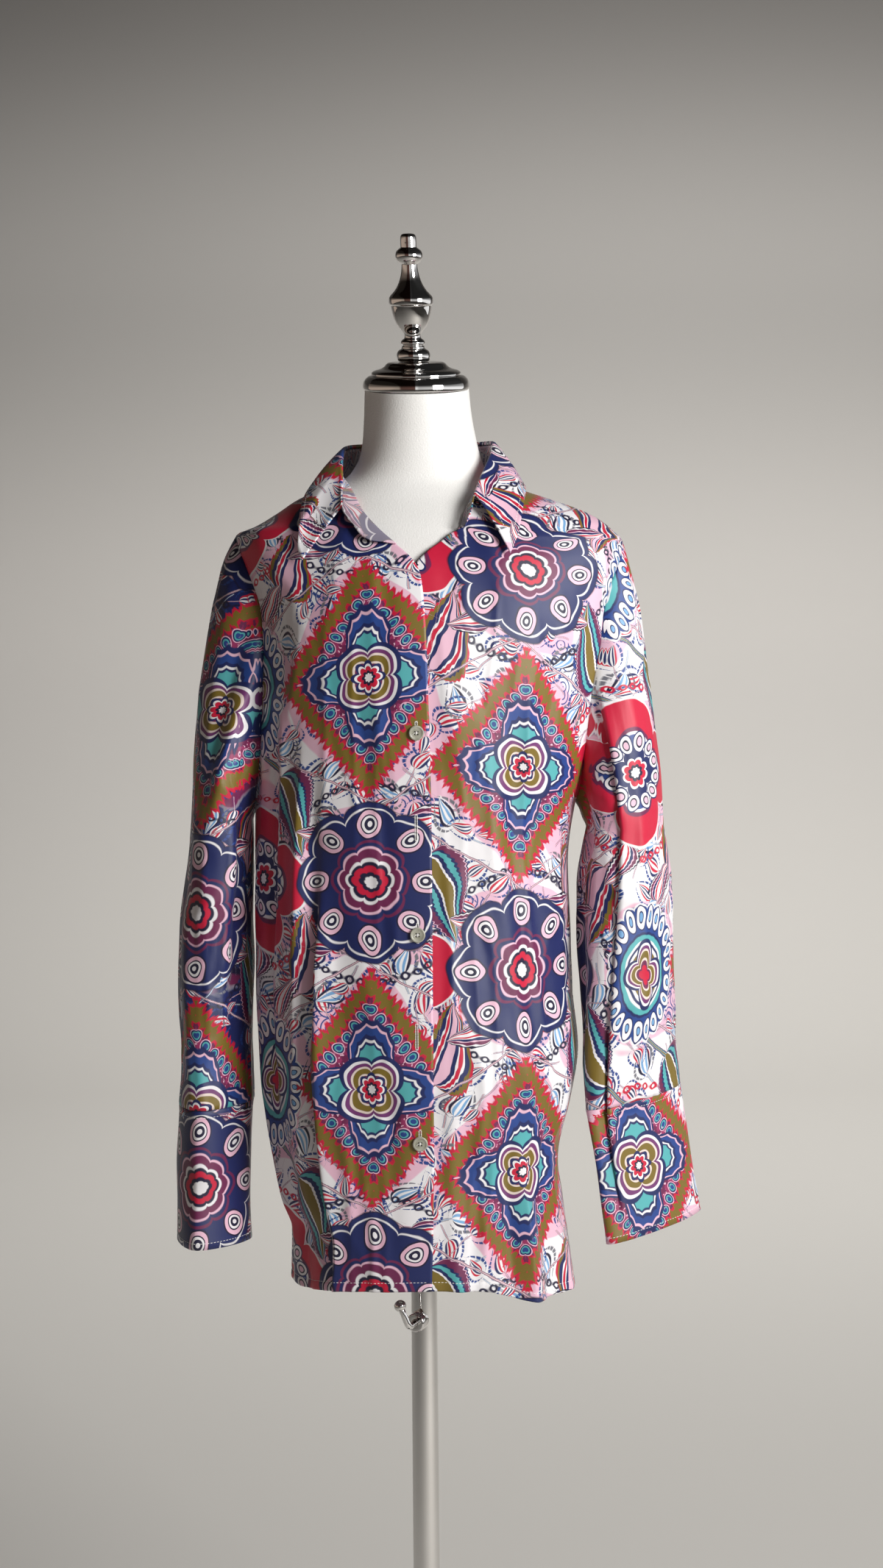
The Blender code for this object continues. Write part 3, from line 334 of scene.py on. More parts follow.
# half sizes of the lozenge and of the lace medallion
LOZENGE_WIDE = 78.0
LOZENGE_TALL = 95.0
LENS_WIDE = 38.0
LENS_TALL = 54.0
# repeat of the print before it is enlarged
WIDE = 212.0
TALL = 300.0
PRINT_SCALE = 1.22
# where each piece lies on the printed length, across and along
PRINT_SHIFTS = {
    "front_right": (40.0, 268.0), "front_left": (158.6, 164.0), "back": (2050.0, 110.0),
    "sleeve_right": (-1094.56, 0.0), "sleeve_left": (189.0, 60.0),
    "cuff_right": (-836.2, 306.0), "cuff_left": (60.0, 300.0),
    "collar_stand": (260.0, 40.0), "collar_leaf": (900.0, 215.0),
}

# the print left of this place, in millimetres, has a dark ground
NIGHT_EDGE = -300.0

# cell, offset across, offset along, length of the drop, its two inks
SCATTER = [
    (38.0, 0.0, 0.0, 18.0, ("navy", "crimson")), (45.0, 21.0, 37.0, 19.0, ("ink", "sky")),
    (32.0, 9.0, 17.0, 13.0, ("crimson", "navy")),
]

LOZENGE_RINGS = [
    (0.44, "violet"), (0.58, "plum"), (0.72, "rose"), (0.76, "plum"), (0.80, "crimson"),
    (0.93, "olive"), (1.00, "crimson"),
]
STAR_RINGS = [
    (0.26, "plum"), (0.30, "white"), (0.34, "navy"), (0.60, "teal"), (0.64, "navy"),
    (0.68, "white"), (0.74, "navy"), (0.86, "royal"), (0.90, "pink"), (1.00, "navy"),
]
ROSE_RINGS = [
    (0.28, "crimson"), (0.40, "plum"), (0.46, "cream"), (0.62, "olive"), (0.68, "cream"),
    (0.78, "violet"), (0.86, "white"), (1.00, "navy"),
]
HEART_RINGS = [
    (0.24, "white"), (0.40, "ink"), (0.66, "crimson"), (0.80, "white"), (1.00, "navy"),
]
BLUE_RINGS = [
    (0.09, "white"), (0.14, "ink"), (0.21, "crimson"), (0.25, "ink"), (0.29, "white"),
    (0.38, "plum"), (0.41, "pink"), (0.46, "navy"), (0.50, "plum"), (0.88, "navy"),
    (0.905, "white"), (0.97, "navy"), (1.00, "ink"),
]
EYE_RINGS = [
    (1.6, "white"), (3.4, "ink"), (4.8, "white"), (5.6, "ink"), (8.0, "pink"), (9.2, "ink"),
]
RED_RINGS = [
    (0.36, "navy"), (0.40, "white"), (0.50, "royal"), (0.54, "white"), (0.60, "plum"),
    (0.97, "crimson"), (1.02, "white"),
]
LOOP_RINGS = [
    (2.2, "pink"), (3.2, "ink"), (5.0, "white"), (6.0, "navy"),
]
LACE_RINGS = [
    (0.16, "teal"), (0.21, "navy"), (0.34, "olive"), (0.39, "white"), (0.43, "navy"),
    (0.47, "white"), (0.55, "teal"), (0.59, "navy"), (0.95, "royal"), (1.00, "white"),
]
PETAL_RINGS = [
    (0.30, "sky"), (0.42, "navy"), (0.86, "white"), (1.00, "navy"),
]
SCALLOP_RINGS = [
    (0.40, "royal"), (0.62, "teal"), (0.84, "navy"), (1.00, "pink"),
]
DROP_RED = [
    (0.16, "white"), (0.30, "crimson"), (0.38, "white"), (0.56, "navy"), (0.64, "pink"),
    (0.84, "plum"), (0.92, "white"), (1.04, "ink"),
]
DROP_TEAL = [
    (0.22, "olive"), (0.30, "white"), (0.44, "navy"), (0.62, "teal"), (0.70, "navy"),
    (0.92, "plum"), (0.96, "pink"), (1.04, "navy"),
]
DROP_SKY = [
    (0.20, "pink"), (0.34, "navy"), (0.40, "white"), (0.54, "crimson"), (0.60, "white"),
    (0.78, "navy"), (0.94, "olive"), (1.02, "crimson"),
]
# x, y, turn in degrees, length, width, curl, rings
DROPS = [
    (62.0, 80.0, 52.0, 54.0, 30.0, 34.0, DROP_TEAL),
    (-58.0, 80.0, -48.0, 50.0, 28.0, -32.0, DROP_SKY),
    (-92.0, 62.0, -8.0, 30.0, 16.0, 20.0, DROP_RED),
    (-34.0, 108.0, 62.0, 28.0, 15.0, -18.0, DROP_RED),
    (34.0, 118.0, -60.0, 26.0, 14.0, 16.0, DROP_RED),
]

# height of a button's underside over the middle of the cloth
BUTTON_SEAT = WALL / 2.0 + 0.35
BUTTON_PLACES = [(-1.4, 1139.0), (-1.9, 961.5), (-1.3, 778.6)]
STITCH_STEP = 3.2
# length, width and height of one stitch
STITCH_SIZE = (2.5, 0.55, 0.34)
# from stitch to stitch down a buttonhole
CLOSE_STEP = 0.9
# x, height of the middle, length
BUTTONHOLES = [
    (-1.6, 1140.2, 16.5), (-2.4, 1055.5, 22.0), (-1.9, 963.0, 16.5), (-3.4, 873.0, 22.0),
    (-1.3, 781.8, 17.0),
]


def column(rows, value, index):
    """Read one column of a table at any value of its first column, without overshoot."""
    table = np.array([(row[0], row[index]) for row in rows], float)
    if table[0, 0] > table[-1, 0]:
        table = table[::-1]
    keys, data = table[:, 0], table[:, 1]
    steps = np.diff(keys)
    slopes = np.diff(data) / steps
    before, after = slopes[:-1], slopes[1:]
    same = before * after > 0
    tangents = np.concatenate((slopes[:1], np.zeros(len(before)), slopes[-1:]))
    tangents[1:-1] = np.where(same, 2 * before * after / np.where(same, before + after, 1), 0)
    value = np.clip(value, keys[0], keys[-1])
    place = np.clip(np.searchsorted(keys, value, side="right") - 1, 0, len(steps) - 1)
    step = steps[place]
    part = (value - keys[place]) / step
    first = (1 + 2 * part) * (1 - part) ** 2 * data[place]
    second = part * (1 - part) ** 2 * step * tangents[place]
    third = part * part * (3 - 2 * part) * data[place + 1]
    fourth = part * part * (part - 1) * step * tangents[place + 1]
    return first + second + third + fourth


def ramp(value):
    value = np.clip(value, 0.0, 1.0)
    return value * value * (3 - 2 * value)


def fade_from(limits, value):
    return ramp((value - limits[0]) / limits[1])


def rounded(value, power):
    return np.copysign(np.abs(value) ** (2.0 / power), value)


def section_point(rows, angle, height):
    """Points of a torso section; angle 0 is the right side and 90 the front."""
    angle, height = np.broadcast_arrays(np.asarray(angle, float), np.asarray(height, float))
    across = np.cos(np.radians(angle))
    along = np.sin(np.radians(angle))
    half = np.where(across >= 0, column(rows, height, 1), column(rows, height, 2))
    depth = np.where(along >= 0, column(rows, height, 3), column(rows, height, 4))
    x = half * rounded(across, BODY_POWER)
    y = -depth * rounded(along, BODY_POWER)
    return np.stack((x, y, height), axis=-1)


def unit(way):
    return way / np.maximum(np.linalg.norm(way, axis=-1, keepdims=True), 1e-9)


def one_degree(angle, height):
    """The way and the length of one degree round the body."""
    return section_point(BODY, angle + 0.5, height) - section_point(BODY, angle - 0.5, height)


def body_normal(angle, height):
    rise = section_point(BODY, angle, height + 1.0) - section_point(BODY, angle, height - 1.0)
    return -unit(np.cross(one_degree(angle, height), rise))


def away_from(angle, middle):
    return (angle - middle + 180.0) % 360.0 - 180.0


def bell(away, reach):
    return np.exp(-((away / reach) ** 2))


def bowed(first, middle, last, part):
    """A place along an arc from first to last that is drawn toward middle."""
    return first * (1 - part) ** 2 + middle * (2 * part * (1 - part)) + last * part ** 2


def fold_line(height, top_angle, top, bottom_angle, bottom):
    """How far down its line a fold is at a height, and the line's angle there."""
    part = (top - height) / (top - bottom)
    return part, top_angle + (bottom_angle - top_angle) * np.clip(part, 0, 1)


def fold_size(angle, height):
    """The broad soft folds that the solids have too."""
    total = np.zeros(np.broadcast(angle, height).shape)
    for *line, size, reach in FOLDS:
        part, middle = fold_line(height, *line)
        total += size * ramp(part * 3.0) * bell(away_from(angle, middle), reach)
    return total


def crease_shape(kind, away, reach):
    """How far the cloth moves out, and sideways, at a distance from a crease's line."""
    share = away / reach
    if kind == "pleat":
        bell = np.exp(-share * share)
        return -1.6 * share * bell, -1.7 * away * bell
    if kind == "sharp":
        return np.exp(-np.sqrt(share * share + 0.02)), np.zeros(np.shape(away))
    return np.exp(-share * share), np.zeros(np.shape(away))


def body_creases(angle, height):
    """Finer folds of the body: how far out in millimetres, and how far round in degrees."""
    out = np.zeros(angle.shape)
    slid = np.zeros(angle.shape)
    scale = np.linalg.norm(one_degree(angle, height), axis=-1)
    for kind, *line, size, reach in BODY_CREASES:
        part, middle = fold_line(height, *line)
        fade = ramp(part * 4.0) * ramp((1.25 - part) * 4.0)
        lift, slide = crease_shape(kind, away_from(angle, middle) * scale, reach)
        out += size * fade * lift
        slid += fade * slide
    return out, slid / scale


def lap_shift(x, layer):
    """The overlapping fronts part by one step each way near the centre."""
    return layer * LAP_STEP * ramp((LAP_REACH + LAP_FADE + layer * x) / LAP_FADE)


def cloth_point(angle, height, layer, fine=False):
    """Points of the cloth; layer is 1 where it laps over, -1 under and 0 at the back."""
    angle, height = np.broadcast_arrays(np.asarray(angle, float), np.asarray(height, float))
    flat = body_normal(angle, height)
    lift = fold_size(angle, height)
    if fine:
        out, slid = body_creases(angle, height)
        fade = 1.0
        if layer:
            fade = fade_from(LAP_PLAIN, np.abs(section_point(BODY, angle, height)[..., 0]))
        lift = lift + out * fade
        angle = angle + slid * fade
    point = section_point(BODY, angle, height)
    if layer:
        lift = lift + lap_shift(point[..., 0], layer)
    return point + flat * lift[..., None]


def angle_at(x, height, side):
    half = np.where(np.asarray(x) >= 0, column(BODY, height, 1), column(BODY, height, 2))
    share = np.minimum(np.abs(x) / half, 1.0) ** (BODY_POWER / 2.0)
    return side * np.degrees(np.arccos(np.copysign(share, x)))


def row_levels(tip):
    """Shares of the armhole with their heights, then the heights from its tip to the neck."""
    share = (1 - np.cos(np.pi * np.arange(1, ARMHOLE_ROWS + 1) / ARMHOLE_ROWS)) / 2.0
    armhole = [(part, UNDERARM + part * (tip - UNDERARM)) for part in share]
    rise = np.arange(1, SHOULDER_ROWS + 1) / SHOULDER_ROWS
    return armhole, list(tip + (NECK_TOP - tip) * rise)


def armhole_angle(share, height, front):
    """How far from the side the armhole edge stands, in degrees."""
    reach = ARMHOLE_DEPTH_FRONT if front else ARMHOLE_DEPTH_BACK
    away = reach * math.sqrt(max(1 - (2 * share - 1) ** 2, 0.0))
    depth = column(BODY, height, 3 if front else 4)
    return math.degrees(math.asin((away / depth) ** (BODY_POWER / 2.0)))


def low_height(hem, step):
    """Height of a row of the body below the underarm, closer together at the hem."""
    if step < len(HEM_STEPS):
        return hem + HEM_STEPS[step]
    start = hem + HEM_STEPS[-1]
    done = len(HEM_STEPS) - 1
    return start + (UNDERARM - start) * (step - done) / (LOWER_ROWS - done)


def front_grid(left):
    """Angles and heights of one front in rows from its edge at the centre to the side."""
    edge = LAP_EDGE if left else UNDER_EDGE
    side = 180.0 if left else 0.0
    inward = -1.0 if left else 1.0
    across = np.arange(FRONT_COLUMNS + 1) / FRONT_COLUMNS
    level = np.ones(across.shape)
    hem = column(HEM, 90.0 + (side - 90.0) * across, 1)
    armhole, shoulder = row_levels(TIP_LEFT if left else TIP_RIGHT)
    rows = [(low_height(hem, step), side) for step in range(LOWER_ROWS + 1)]
    for share, height in armhole:
        rows.append((height * level, side + inward * armhole_angle(share, height, True)))
    rows += [(height * level, side) for height in shoulder]
    angles = []
    for height, stop in rows:
        start = angle_at(column(edge, height, 1), height, 1)
        angles.append(start + (stop - start) * across)
    return np.array(angles), np.array([height for height, _ in rows])


def back_grid():
    """Angles and heights of the back in rows from the left side round to the right side."""
    arm_left, top_left = row_levels(TIP_LEFT)
    arm_right, top_right = row_levels(TIP_RIGHT)
    across = np.arange(BACK_COLUMNS + 1) / BACK_COLUMNS
    angles = [-180.0 + 180.0 * across] * (LOWER_ROWS + 1)
    hem = column(HEM, angles[0], 1)
    heights = [low_height(hem, step) for step in range(LOWER_ROWS + 1)]
    levels = [(low, high, share) for (share, low), (_, high) in zip(arm_left, arm_right)]
    levels += [(low, high, None) for low, high in zip(top_left, top_right)]
    for low, high, share in levels:
        start = -180.0
        stop = 0.0
        if share is not None:
            start += armhole_angle(share, low, False)
            stop -= armhole_angle(share, high, False)
        angles.append(start + (stop - start) * across)
        heights.append(low + (high - low) * across)
    return np.array(angles), np.array(heights)


def armhole_ring(front, back, left):
    """The seam all round one armhole: down the front from the tip, then up the back."""
    first = LOWER_ROWS
    last = LOWER_ROWS + ARMHOLE_ROWS
    place = 0 if left else -1
    return np.concatenate((front[last:first - 1:-1, -1], back[first + 1:last, place]))


def ring_point(row, turn):
    """Points of a hanging section; turn 0 is outward and 90 degrees the front."""
    height, x, y, long_half, short_half, degrees, slope, power = row
    lean = math.radians(degrees)
    outward = 1.0 if x > 0 else -1.0
    along = np.array((math.cos(lean), math.sin(lean), 0.0))
    across = np.array((math.sin(lean), -math.cos(lean), 0.0))
    # the turn is counted from the outward side, whichever way the section is turned
    flat = np.stack((outward * np.cos(turn), -np.sin(turn), np.zeros(turn.shape)), axis=-1)
    share = np.arctan2(flat @ across, flat @ along)
    point = along * (long_half * rounded(np.cos(share), power))[:, None]
    point = point + across * (short_half * rounded(np.sin(share), power))[:, None]
    point[:, 2] = slope * point[:, 0]
    return np.array((x, y, height)) + point


def table_row(rows, height):
    return (height,) + tuple(float(column(rows, height, i)) for i in range(1, len(rows[0])))


def full_turns(count):
    return 2 * np.pi * np.arange(count) / count


def hanging_rows(rows, count, columns):
    """Sections from under a table's first row down to its last."""
    first = rows[0][0]
    drop = rows[-1][0] - first
    levels = [first + drop * step / count for step in range(1, count + 1)]
    return [ring_point(table_row(rows, level), full_turns(columns)) for level in levels]


def sleeve_grid(ring, rows, bulge):
    """A tube: its first row is the armhole seam and its last meets the cuff."""
    turn = full_turns(len(ring))
    top = ring_point(table_row(rows, rows[0][0]), turn)
    outward = 1.0 if rows[0][1] > 0 else -1.0
    upper = ((1 + np.cos(turn)) / 2.0) ** 1.3
    sway = np.stack((outward * bulge[0] * upper, -9.0 * np.sin(turn), bulge[1] * upper), axis=-1)
    middle = (ring + top) / 2.0 + sway
    grid = [bowed(ring, middle, top, step / FAN_ROWS) for step in range(FAN_ROWS + 1)]
    return np.array(grid + hanging_rows(rows, HANG_ROWS, len(ring)))


def cuff_grid(ring, rows):
    return np.array([ring] + hanging_rows(rows, CUFF_ROWS, len(ring)))


def azimuth(point):
    degrees = math.degrees(math.atan2(point[0], 5.0 - point[1]))
    return degrees if degrees <= 0 else degrees - 360.0


def neck_line(over, back, under):
    """The neck seam from the left end of the stand round the back to the right end."""
    line = [row[0] for row in over if row[0][2] > LAP_NECK_START]
    line += [over[-1][place] for place in range(8, FRONT_COLUMNS, 8)]
    line += list(back[-1][::4])
    right = [row[0] for row in under if row[0][2] > UNDER_NECK_START]
    right += [under[-1][place] for place in range(8, FRONT_COLUMNS, 8)]
    return np.array(line + right[::-1])


def outward_normal(point):
    """The way out of the body at a point of its surface."""
    side = 1 if point[1] < 0 else -1
    return body_normal(angle_at(point[0], point[2], side), min(point[2], NECK_TOP - 1.5))


def grid_normals(grid, closed):
    """Unit normals of a grid of points; a closed grid's last column is its first again."""
    up = np.gradient(grid, axis=0)
    turn = np.gradient(grid, axis=1)
    if closed:
        seam = (grid[:, 1] - grid[:, -2]) / 2.0
        turn[:, 0] = seam
        turn[:, -1] = seam
    return unit(np.cross(turn, up))


def lengths(grid, axis):
    """Running length of the cloth along its rows or columns."""
    steps = np.linalg.norm(np.diff(grid, axis=axis), axis=-1)
    start = np.zeros((grid.shape[0], 1)) if axis == 1 else np.zeros((1, grid.shape[1]))
    return np.concatenate((start, np.cumsum(steps, axis=axis)), axis=axis)


def rumple(points):
    """Slow uneven waves that no cloth on a form is without, in millimetres."""
    total = np.zeros(points.shape[:2])
    for number, (x, y, z, size) in enumerate(WAVES):
        total += size * np.sin((points @ np.array((x, y, z))) * 2 * np.pi / 1000.0 + number * 1.7)
    return total


def ridges(points):
    """Uneven soft ridges that run mostly down the cloth and fade in and out."""
    round_ = np.arctan2(points[..., 0], -points[..., 1]) * 0.13 + points[..., 0] * 0.0004
    high = points[..., 2] / 1000.0
    total = np.zeros(points.shape[:2])
    for number, (turns, lean, wander, size) in enumerate(RIDGES):
        bend = wander * np.sin(high * (9.0 + 4.0 * number) + 3.0 * np.sin(round_ * 21.0 + number))
        phase = (round_ * turns + high * lean + bend * 0.35) * 2 * np.pi
        mask = ramp(0.5 + 0.9 * np.sin(high * 13.0 + round_ * 31.0 + number * 2.1))
        crest = 1.0 - np.sqrt(np.sin(phase / 2.0) ** 2 + 0.01)
        total += size * mask * (crest ** 2 - 0.25)
    return total


def short_creases(points, normals):
    """Drag lines from one place to another as seen from the front or the back."""
    total = np.zeros(points.shape[:2])
    for side, x0, z0, x1, z1, size, reach in SHORT_CREASES:
        long = math.hypot(x1 - x0, z1 - z0)
        way = np.array((x1 - x0, z1 - z0)) / long
        across = points[..., 0] - x0
        rise = points[..., 2] - z0
        part = (across * way[0] + rise * way[1]) / long
        away = across * way[1] - rise * way[0]
        bow = away + 0.05 * long * np.sin(np.pi * np.clip(part, 0, 1))
        fade = ramp(part * 2.5) * ramp((1 - part) * 2.5)
        facing = ramp(-side * normals[..., 1] * 1.8)
        total += size * fade * facing * np.exp(-np.sqrt((bow / reach) ** 2 + 0.05))
    return total


def joined(grid):
    """A ring's grid with its first column again at its end."""
    return np.concatenate((grid, grid[:, :1]), axis=1)


def tube_creases(grid, normals, creases):
    """Folds along a sleeve or cuff, as moves in space."""
    tangents = unit(np.roll(grid, -1, axis=1) - np.roll(grid, 1, axis=1))
    girth = lengths(joined(grid), 1)[:, -1:]
    turns = np.degrees(full_turns(grid.shape[1]))[None, :]
    move = np.zeros(grid.shape)
    for kind, *line, size, reach in creases:
        part, middle = fold_line(grid[..., 2], *line)
        fade = ramp(part * 4.0) * ramp((1.0 - part) * 5.0 + 0.35)
        lift, slide = crease_shape(kind, away_from(turns, middle) / 360.0 * girth, reach)
        move += normals * (size * fade * lift)[..., None]
        move += tangents * (fade * slide)[..., None]
    return move


def tube_normals(grid):
    """Outward unit normals of rings of points."""
    up = np.gradient(grid, axis=0)
    turn = np.roll(grid, -1, axis=1) - np.roll(grid, 1, axis=1)
    normals = unit(np.cross(turn, up))
    out = grid - grid.mean(axis=1, keepdims=True)
    row = len(grid) // 2
    return normals if (normals[row] * out[row]).sum() > 0 else -normals


def grid_mesh(grid, flat=None):
    """A plain grid of faces laid on rows of points; its flat cut is kept in metres as its map."""
    rows, columns = grid.shape[:2]
    mesh = bmesh.new()
    bmesh.ops.create_grid(mesh, x_segments=columns - 1, y_segments=rows - 1, size=0.5)
    layer = mesh.loops.layers.uv.new("flat") if flat else None
    for vert in mesh.verts:
        c = round((vert.co.x + 0.5) * (columns - 1))
        r = round((vert.co.y + 0.5) * (rows - 1))
        vert.co = Vector(grid[r, c]) * MM
        for loop in vert.link_loops if flat else ():
            loop[layer].uv = (flat[0][r, c] * MM, flat[1][r, c] * MM)
    return mesh


def laid_sheet(name, grid, flat, middle, closed=False):
    """A sheet whose faces look away from the middle of the piece."""
    mesh = grid_mesh(grid, flat)
    if closed:
        bmesh.ops.remove_doubles(mesh, verts=mesh.verts, dist=0.00001)
    mesh.normal_update()
    centres = [(face.normal, face.calc_center_median()) for face in mesh.faces]
    if sum(normal.dot(centre - middle(centre)) for normal, centre in centres) < 0:
        bmesh.ops.reverse_faces(mesh, faces=mesh.faces)
    return finished(name, mesh)


def finished(name, mesh):
    data = bpy.data.meshes.new(name)
    mesh.to_mesh(data)
    mesh.free()
    thing = bpy.data.objects.new(name, data)
    bpy.context.scene.collection.objects.link(thing)
    for polygon in data.polygons:
        polygon.use_smooth = True
    return thing


def walled(thing):
    """Give a laid sheet its thickness, with the print's wrong side inside."""
    solid = thing.modifiers.new("wall", "SOLIDIFY")
    solid.thickness = WALL * MM
    solid.offset = 0.0
    solid.material_offset = 1
    solid.material_offset_rim = 0
    return thing


def declare_sheet(thing, nodes):
    """Hide the solids that a piece stands for and hang the piece on the raised body."""
    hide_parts(*nodes)
    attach(thing, "raised")


def cloth_piece(node, grid, flat, middle, closed=False):
    """A printed sheet that stands for one solid, laid on its place on the printed length."""
    shift = PRINT_SHIFTS[node]
    flat = (flat[0] + shift[0], flat[1] + shift[1])
    thing = walled(laid_sheet(node + "_cloth", grid, flat, middle, closed))
    dress(thing, "cloth")
    declare_sheet(thing, (node,))


def body_middle(point):
    return Vector((0, 0, point.z))


def neck_middle(point):
    return Vector((0, 0.005, point.z - 0.02))


def from_ends(count):
    """How many columns each column is away from the nearer end."""
    return np.minimum(np.arange(count), np.arange(count)[::-1])[None, :]


def body_sheet(angles, heights, layer):
    """One panel of the body with its creases and its flat cut."""
    grid = cloth_point(angles, heights, layer, True)
    normals = grid_normals(grid, False)
    if (normals * (grid * np.array((1, 1, 0)))).sum() < 0:
        normals = -normals
    calm = fade_from(LAP_CALM, np.abs(grid[..., 0])) if layer else 1.0
    low = ramp((COLLAR_CALM[0] - grid[..., 2]) / COLLAR_CALM[1])
    columns = angles.shape[1]
    seam = ramp((np.arange(columns)[::-1][None, :] if layer else from_ends(columns)) / 6.0)
    lift = short_creases(grid, normals) * DRAG_GAIN + rumple(grid) + ridges(grid)
    lift = lift * calm * low * seam
    above = grid[..., 2] - column(HEM, angles, 1)
    hem = 0.35 * bell(above - HEM_DEEP / 2.0, 3.5) - 0.35 * bell(above - HEM_DEEP, 1.2)
    grid = grid + normals * (lift + hem)[..., None]
    across = lengths(grid, 1)
    if not layer:
        across = across - across[:, -1:] / 2.0
    across, rise = flattened(grid, (across, lengths(grid, 0) + grid[:1, :, 2]))
    if layer:
        across = (across - layer * grid[:, :1, 0]) * -layer
    return grid, normals, (across, rise)


def tube_sheet(tube, side, has_head):
    """A sleeve or cuff with its creases; its columns start and end at its inner line."""
    normals = tube_normals(tube)
    calm = ramp(np.arange(len(tube)) / 8.0)[:, None] if has_head else np.ones((len(tube), 1))
    move = tube_creases(tube, normals, SLEEVE_CREASES[side]) * calm[..., None]
    lift = short_creases(tube, normals) * DRAG_GAIN + rumple(tube) * 1.2
    if has_head:
        lift += ridges((tube - tube.mean(axis=1, keepdims=True) * (1, 1, 0)) * (2, 2, 1)) * 0.8
    grid = tube + (move + normals * (lift * calm)[..., None])
    if not has_head:
        grid = grid + normals * cuff_relief(len(grid))[:, None, None]
    return joined(np.roll(grid, tube.shape[1] // 2, axis=1))


def cloth_pieces():
    """The blouse, panel by panel; returns what its seams and stitches need."""
    kept = {}
    plain = []
    panels = (("front_right", 1, front_grid(True)), ("front_left", -1, front_grid(False)),
              ("back", 0, back_grid()))
    for node, layer, (angles, heights) in panels:
        plain.append(cloth_point(angles, heights, layer))
        grid, normals, flat = body_sheet(angles, heights, layer)
        cloth_piece(node, grid, flat, body_middle)
        kept[node] = (grid, normals)
    over, under, back = plain
    # the wearer's right sleeve hangs at the picture's left, below the front that laps over
    sleeves = (
        ("right", over, True, SLEEVE_LEFT, HEAD_BULGE_LEFT, CUFF_LEFT),
        ("left", under, False, SLEEVE_RIGHT, HEAD_BULGE_RIGHT, CUFF_RIGHT),
    )
    for side, front, left, rows, bulge, cuff_rows in sleeves:
        tube = sleeve_grid(armhole_ring(front, back, left), rows, bulge)
        tube[0] += unit(tube[1] - tube[0]) * ARMHOLE_GAP
        cuff = cuff_grid(tube[-1], cuff_rows)
        cuff[0] += unit(cuff[1] - cuff[0]) * SEAM_HALF_GAP
        tube[-1] += unit(tube[-2] - tube[-1]) * SEAM_HALF_GAP
        for node, part in (("sleeve_" + side, tube), ("cuff_" + side, cuff)):
            part = tube_sheet(part, side, part is tube)
            across, rise = flattened(part, tube_flat(part))
            centres = part.mean(axis=1) * MM

            def middle(point, centres=centres):
                return Vector(centres[int(np.argmin(np.abs(centres[:, 2] - point.z)))])

            cloth_piece(node, part, (across * (1.0 if left else -1.0), rise), middle, True)
            kept[node] = (part, grid_normals(part, True))
    collar_pieces(neck_line(over, back, under), kept)
    return kept


def from_middle(across):
    """Widths counted from the middle column."""
    middle = across.shape[1] // 2
    return across - across[:, middle:middle + 1]


def tube_flat(grid):
    """The flat cut of a tube: widths from its outer line, heights up from its lower edge."""
    run = lengths(grid, 0)
    rise = run[-1:] - run
    steps = np.linalg.norm(np.diff(grid, axis=1), axis=-1)
    level = np.sqrt(np.maximum(steps ** 2 - np.diff(rise, axis=1) ** 2, (0.2 * steps) ** 2))
    across = np.concatenate((np.zeros((len(grid), 1)), np.cumsum(level, axis=1)), axis=1)
    return from_middle(across), rise


def flattened(grid, flat, rounds=140):
    """Ease a first guess of the flat cut until its short lengths are the cloth's own."""
    place = np.stack(flat, axis=-1)
    families = []
    for down, over in ((0, 1), (1, 0), (1, 1), (1, -1)):
        rows = slice(0, grid.shape[0] - down)
        later = slice(down, grid.shape[0])
        left = slice(max(-over, 0), grid.shape[1] - max(over, 0))
        right = slice(max(over, 0), grid.shape[1] - max(-over, 0))
        long = np.linalg.norm(grid[later, right] - grid[rows, left], axis=-1)
        families.append((rows, left, later, right, long))
    for _ in range(rounds):
        for rows, left, later, right, long in families:
            gap = place[later, right] - place[rows, left]
            now = np.maximum(np.linalg.norm(gap, axis=-1), 1e-6)
            pull = gap * (0.22 * (now - long) / now)[..., None]
            place[rows, left] += pull
            place[later, right] -= pull
    return place[..., 0], place[..., 1]


def cuff_relief(rows):
    """A cuff's turned edge, over its length of 130 millimetres."""
    down = (rows - 1 - np.arange(rows)) * (130.0 / (rows - 1))
    return 0.3 * bell(down, 4.0)


def collar_frame(turn, foot):
    """At a turn round the neck: the fold, the way up the stand and the way off it."""
    here, beside = (
        np.array([float(column(COLLAR_FOLD, at, i)) for i in (1, 2, 3)])
        for at in (turn, turn - 1.0)
    )
    up = unit(here - foot)
    return here, up, unit(np.cross(beside - here, up))


def toward(way, aim):
    return way if way @ aim >= 0 else -way


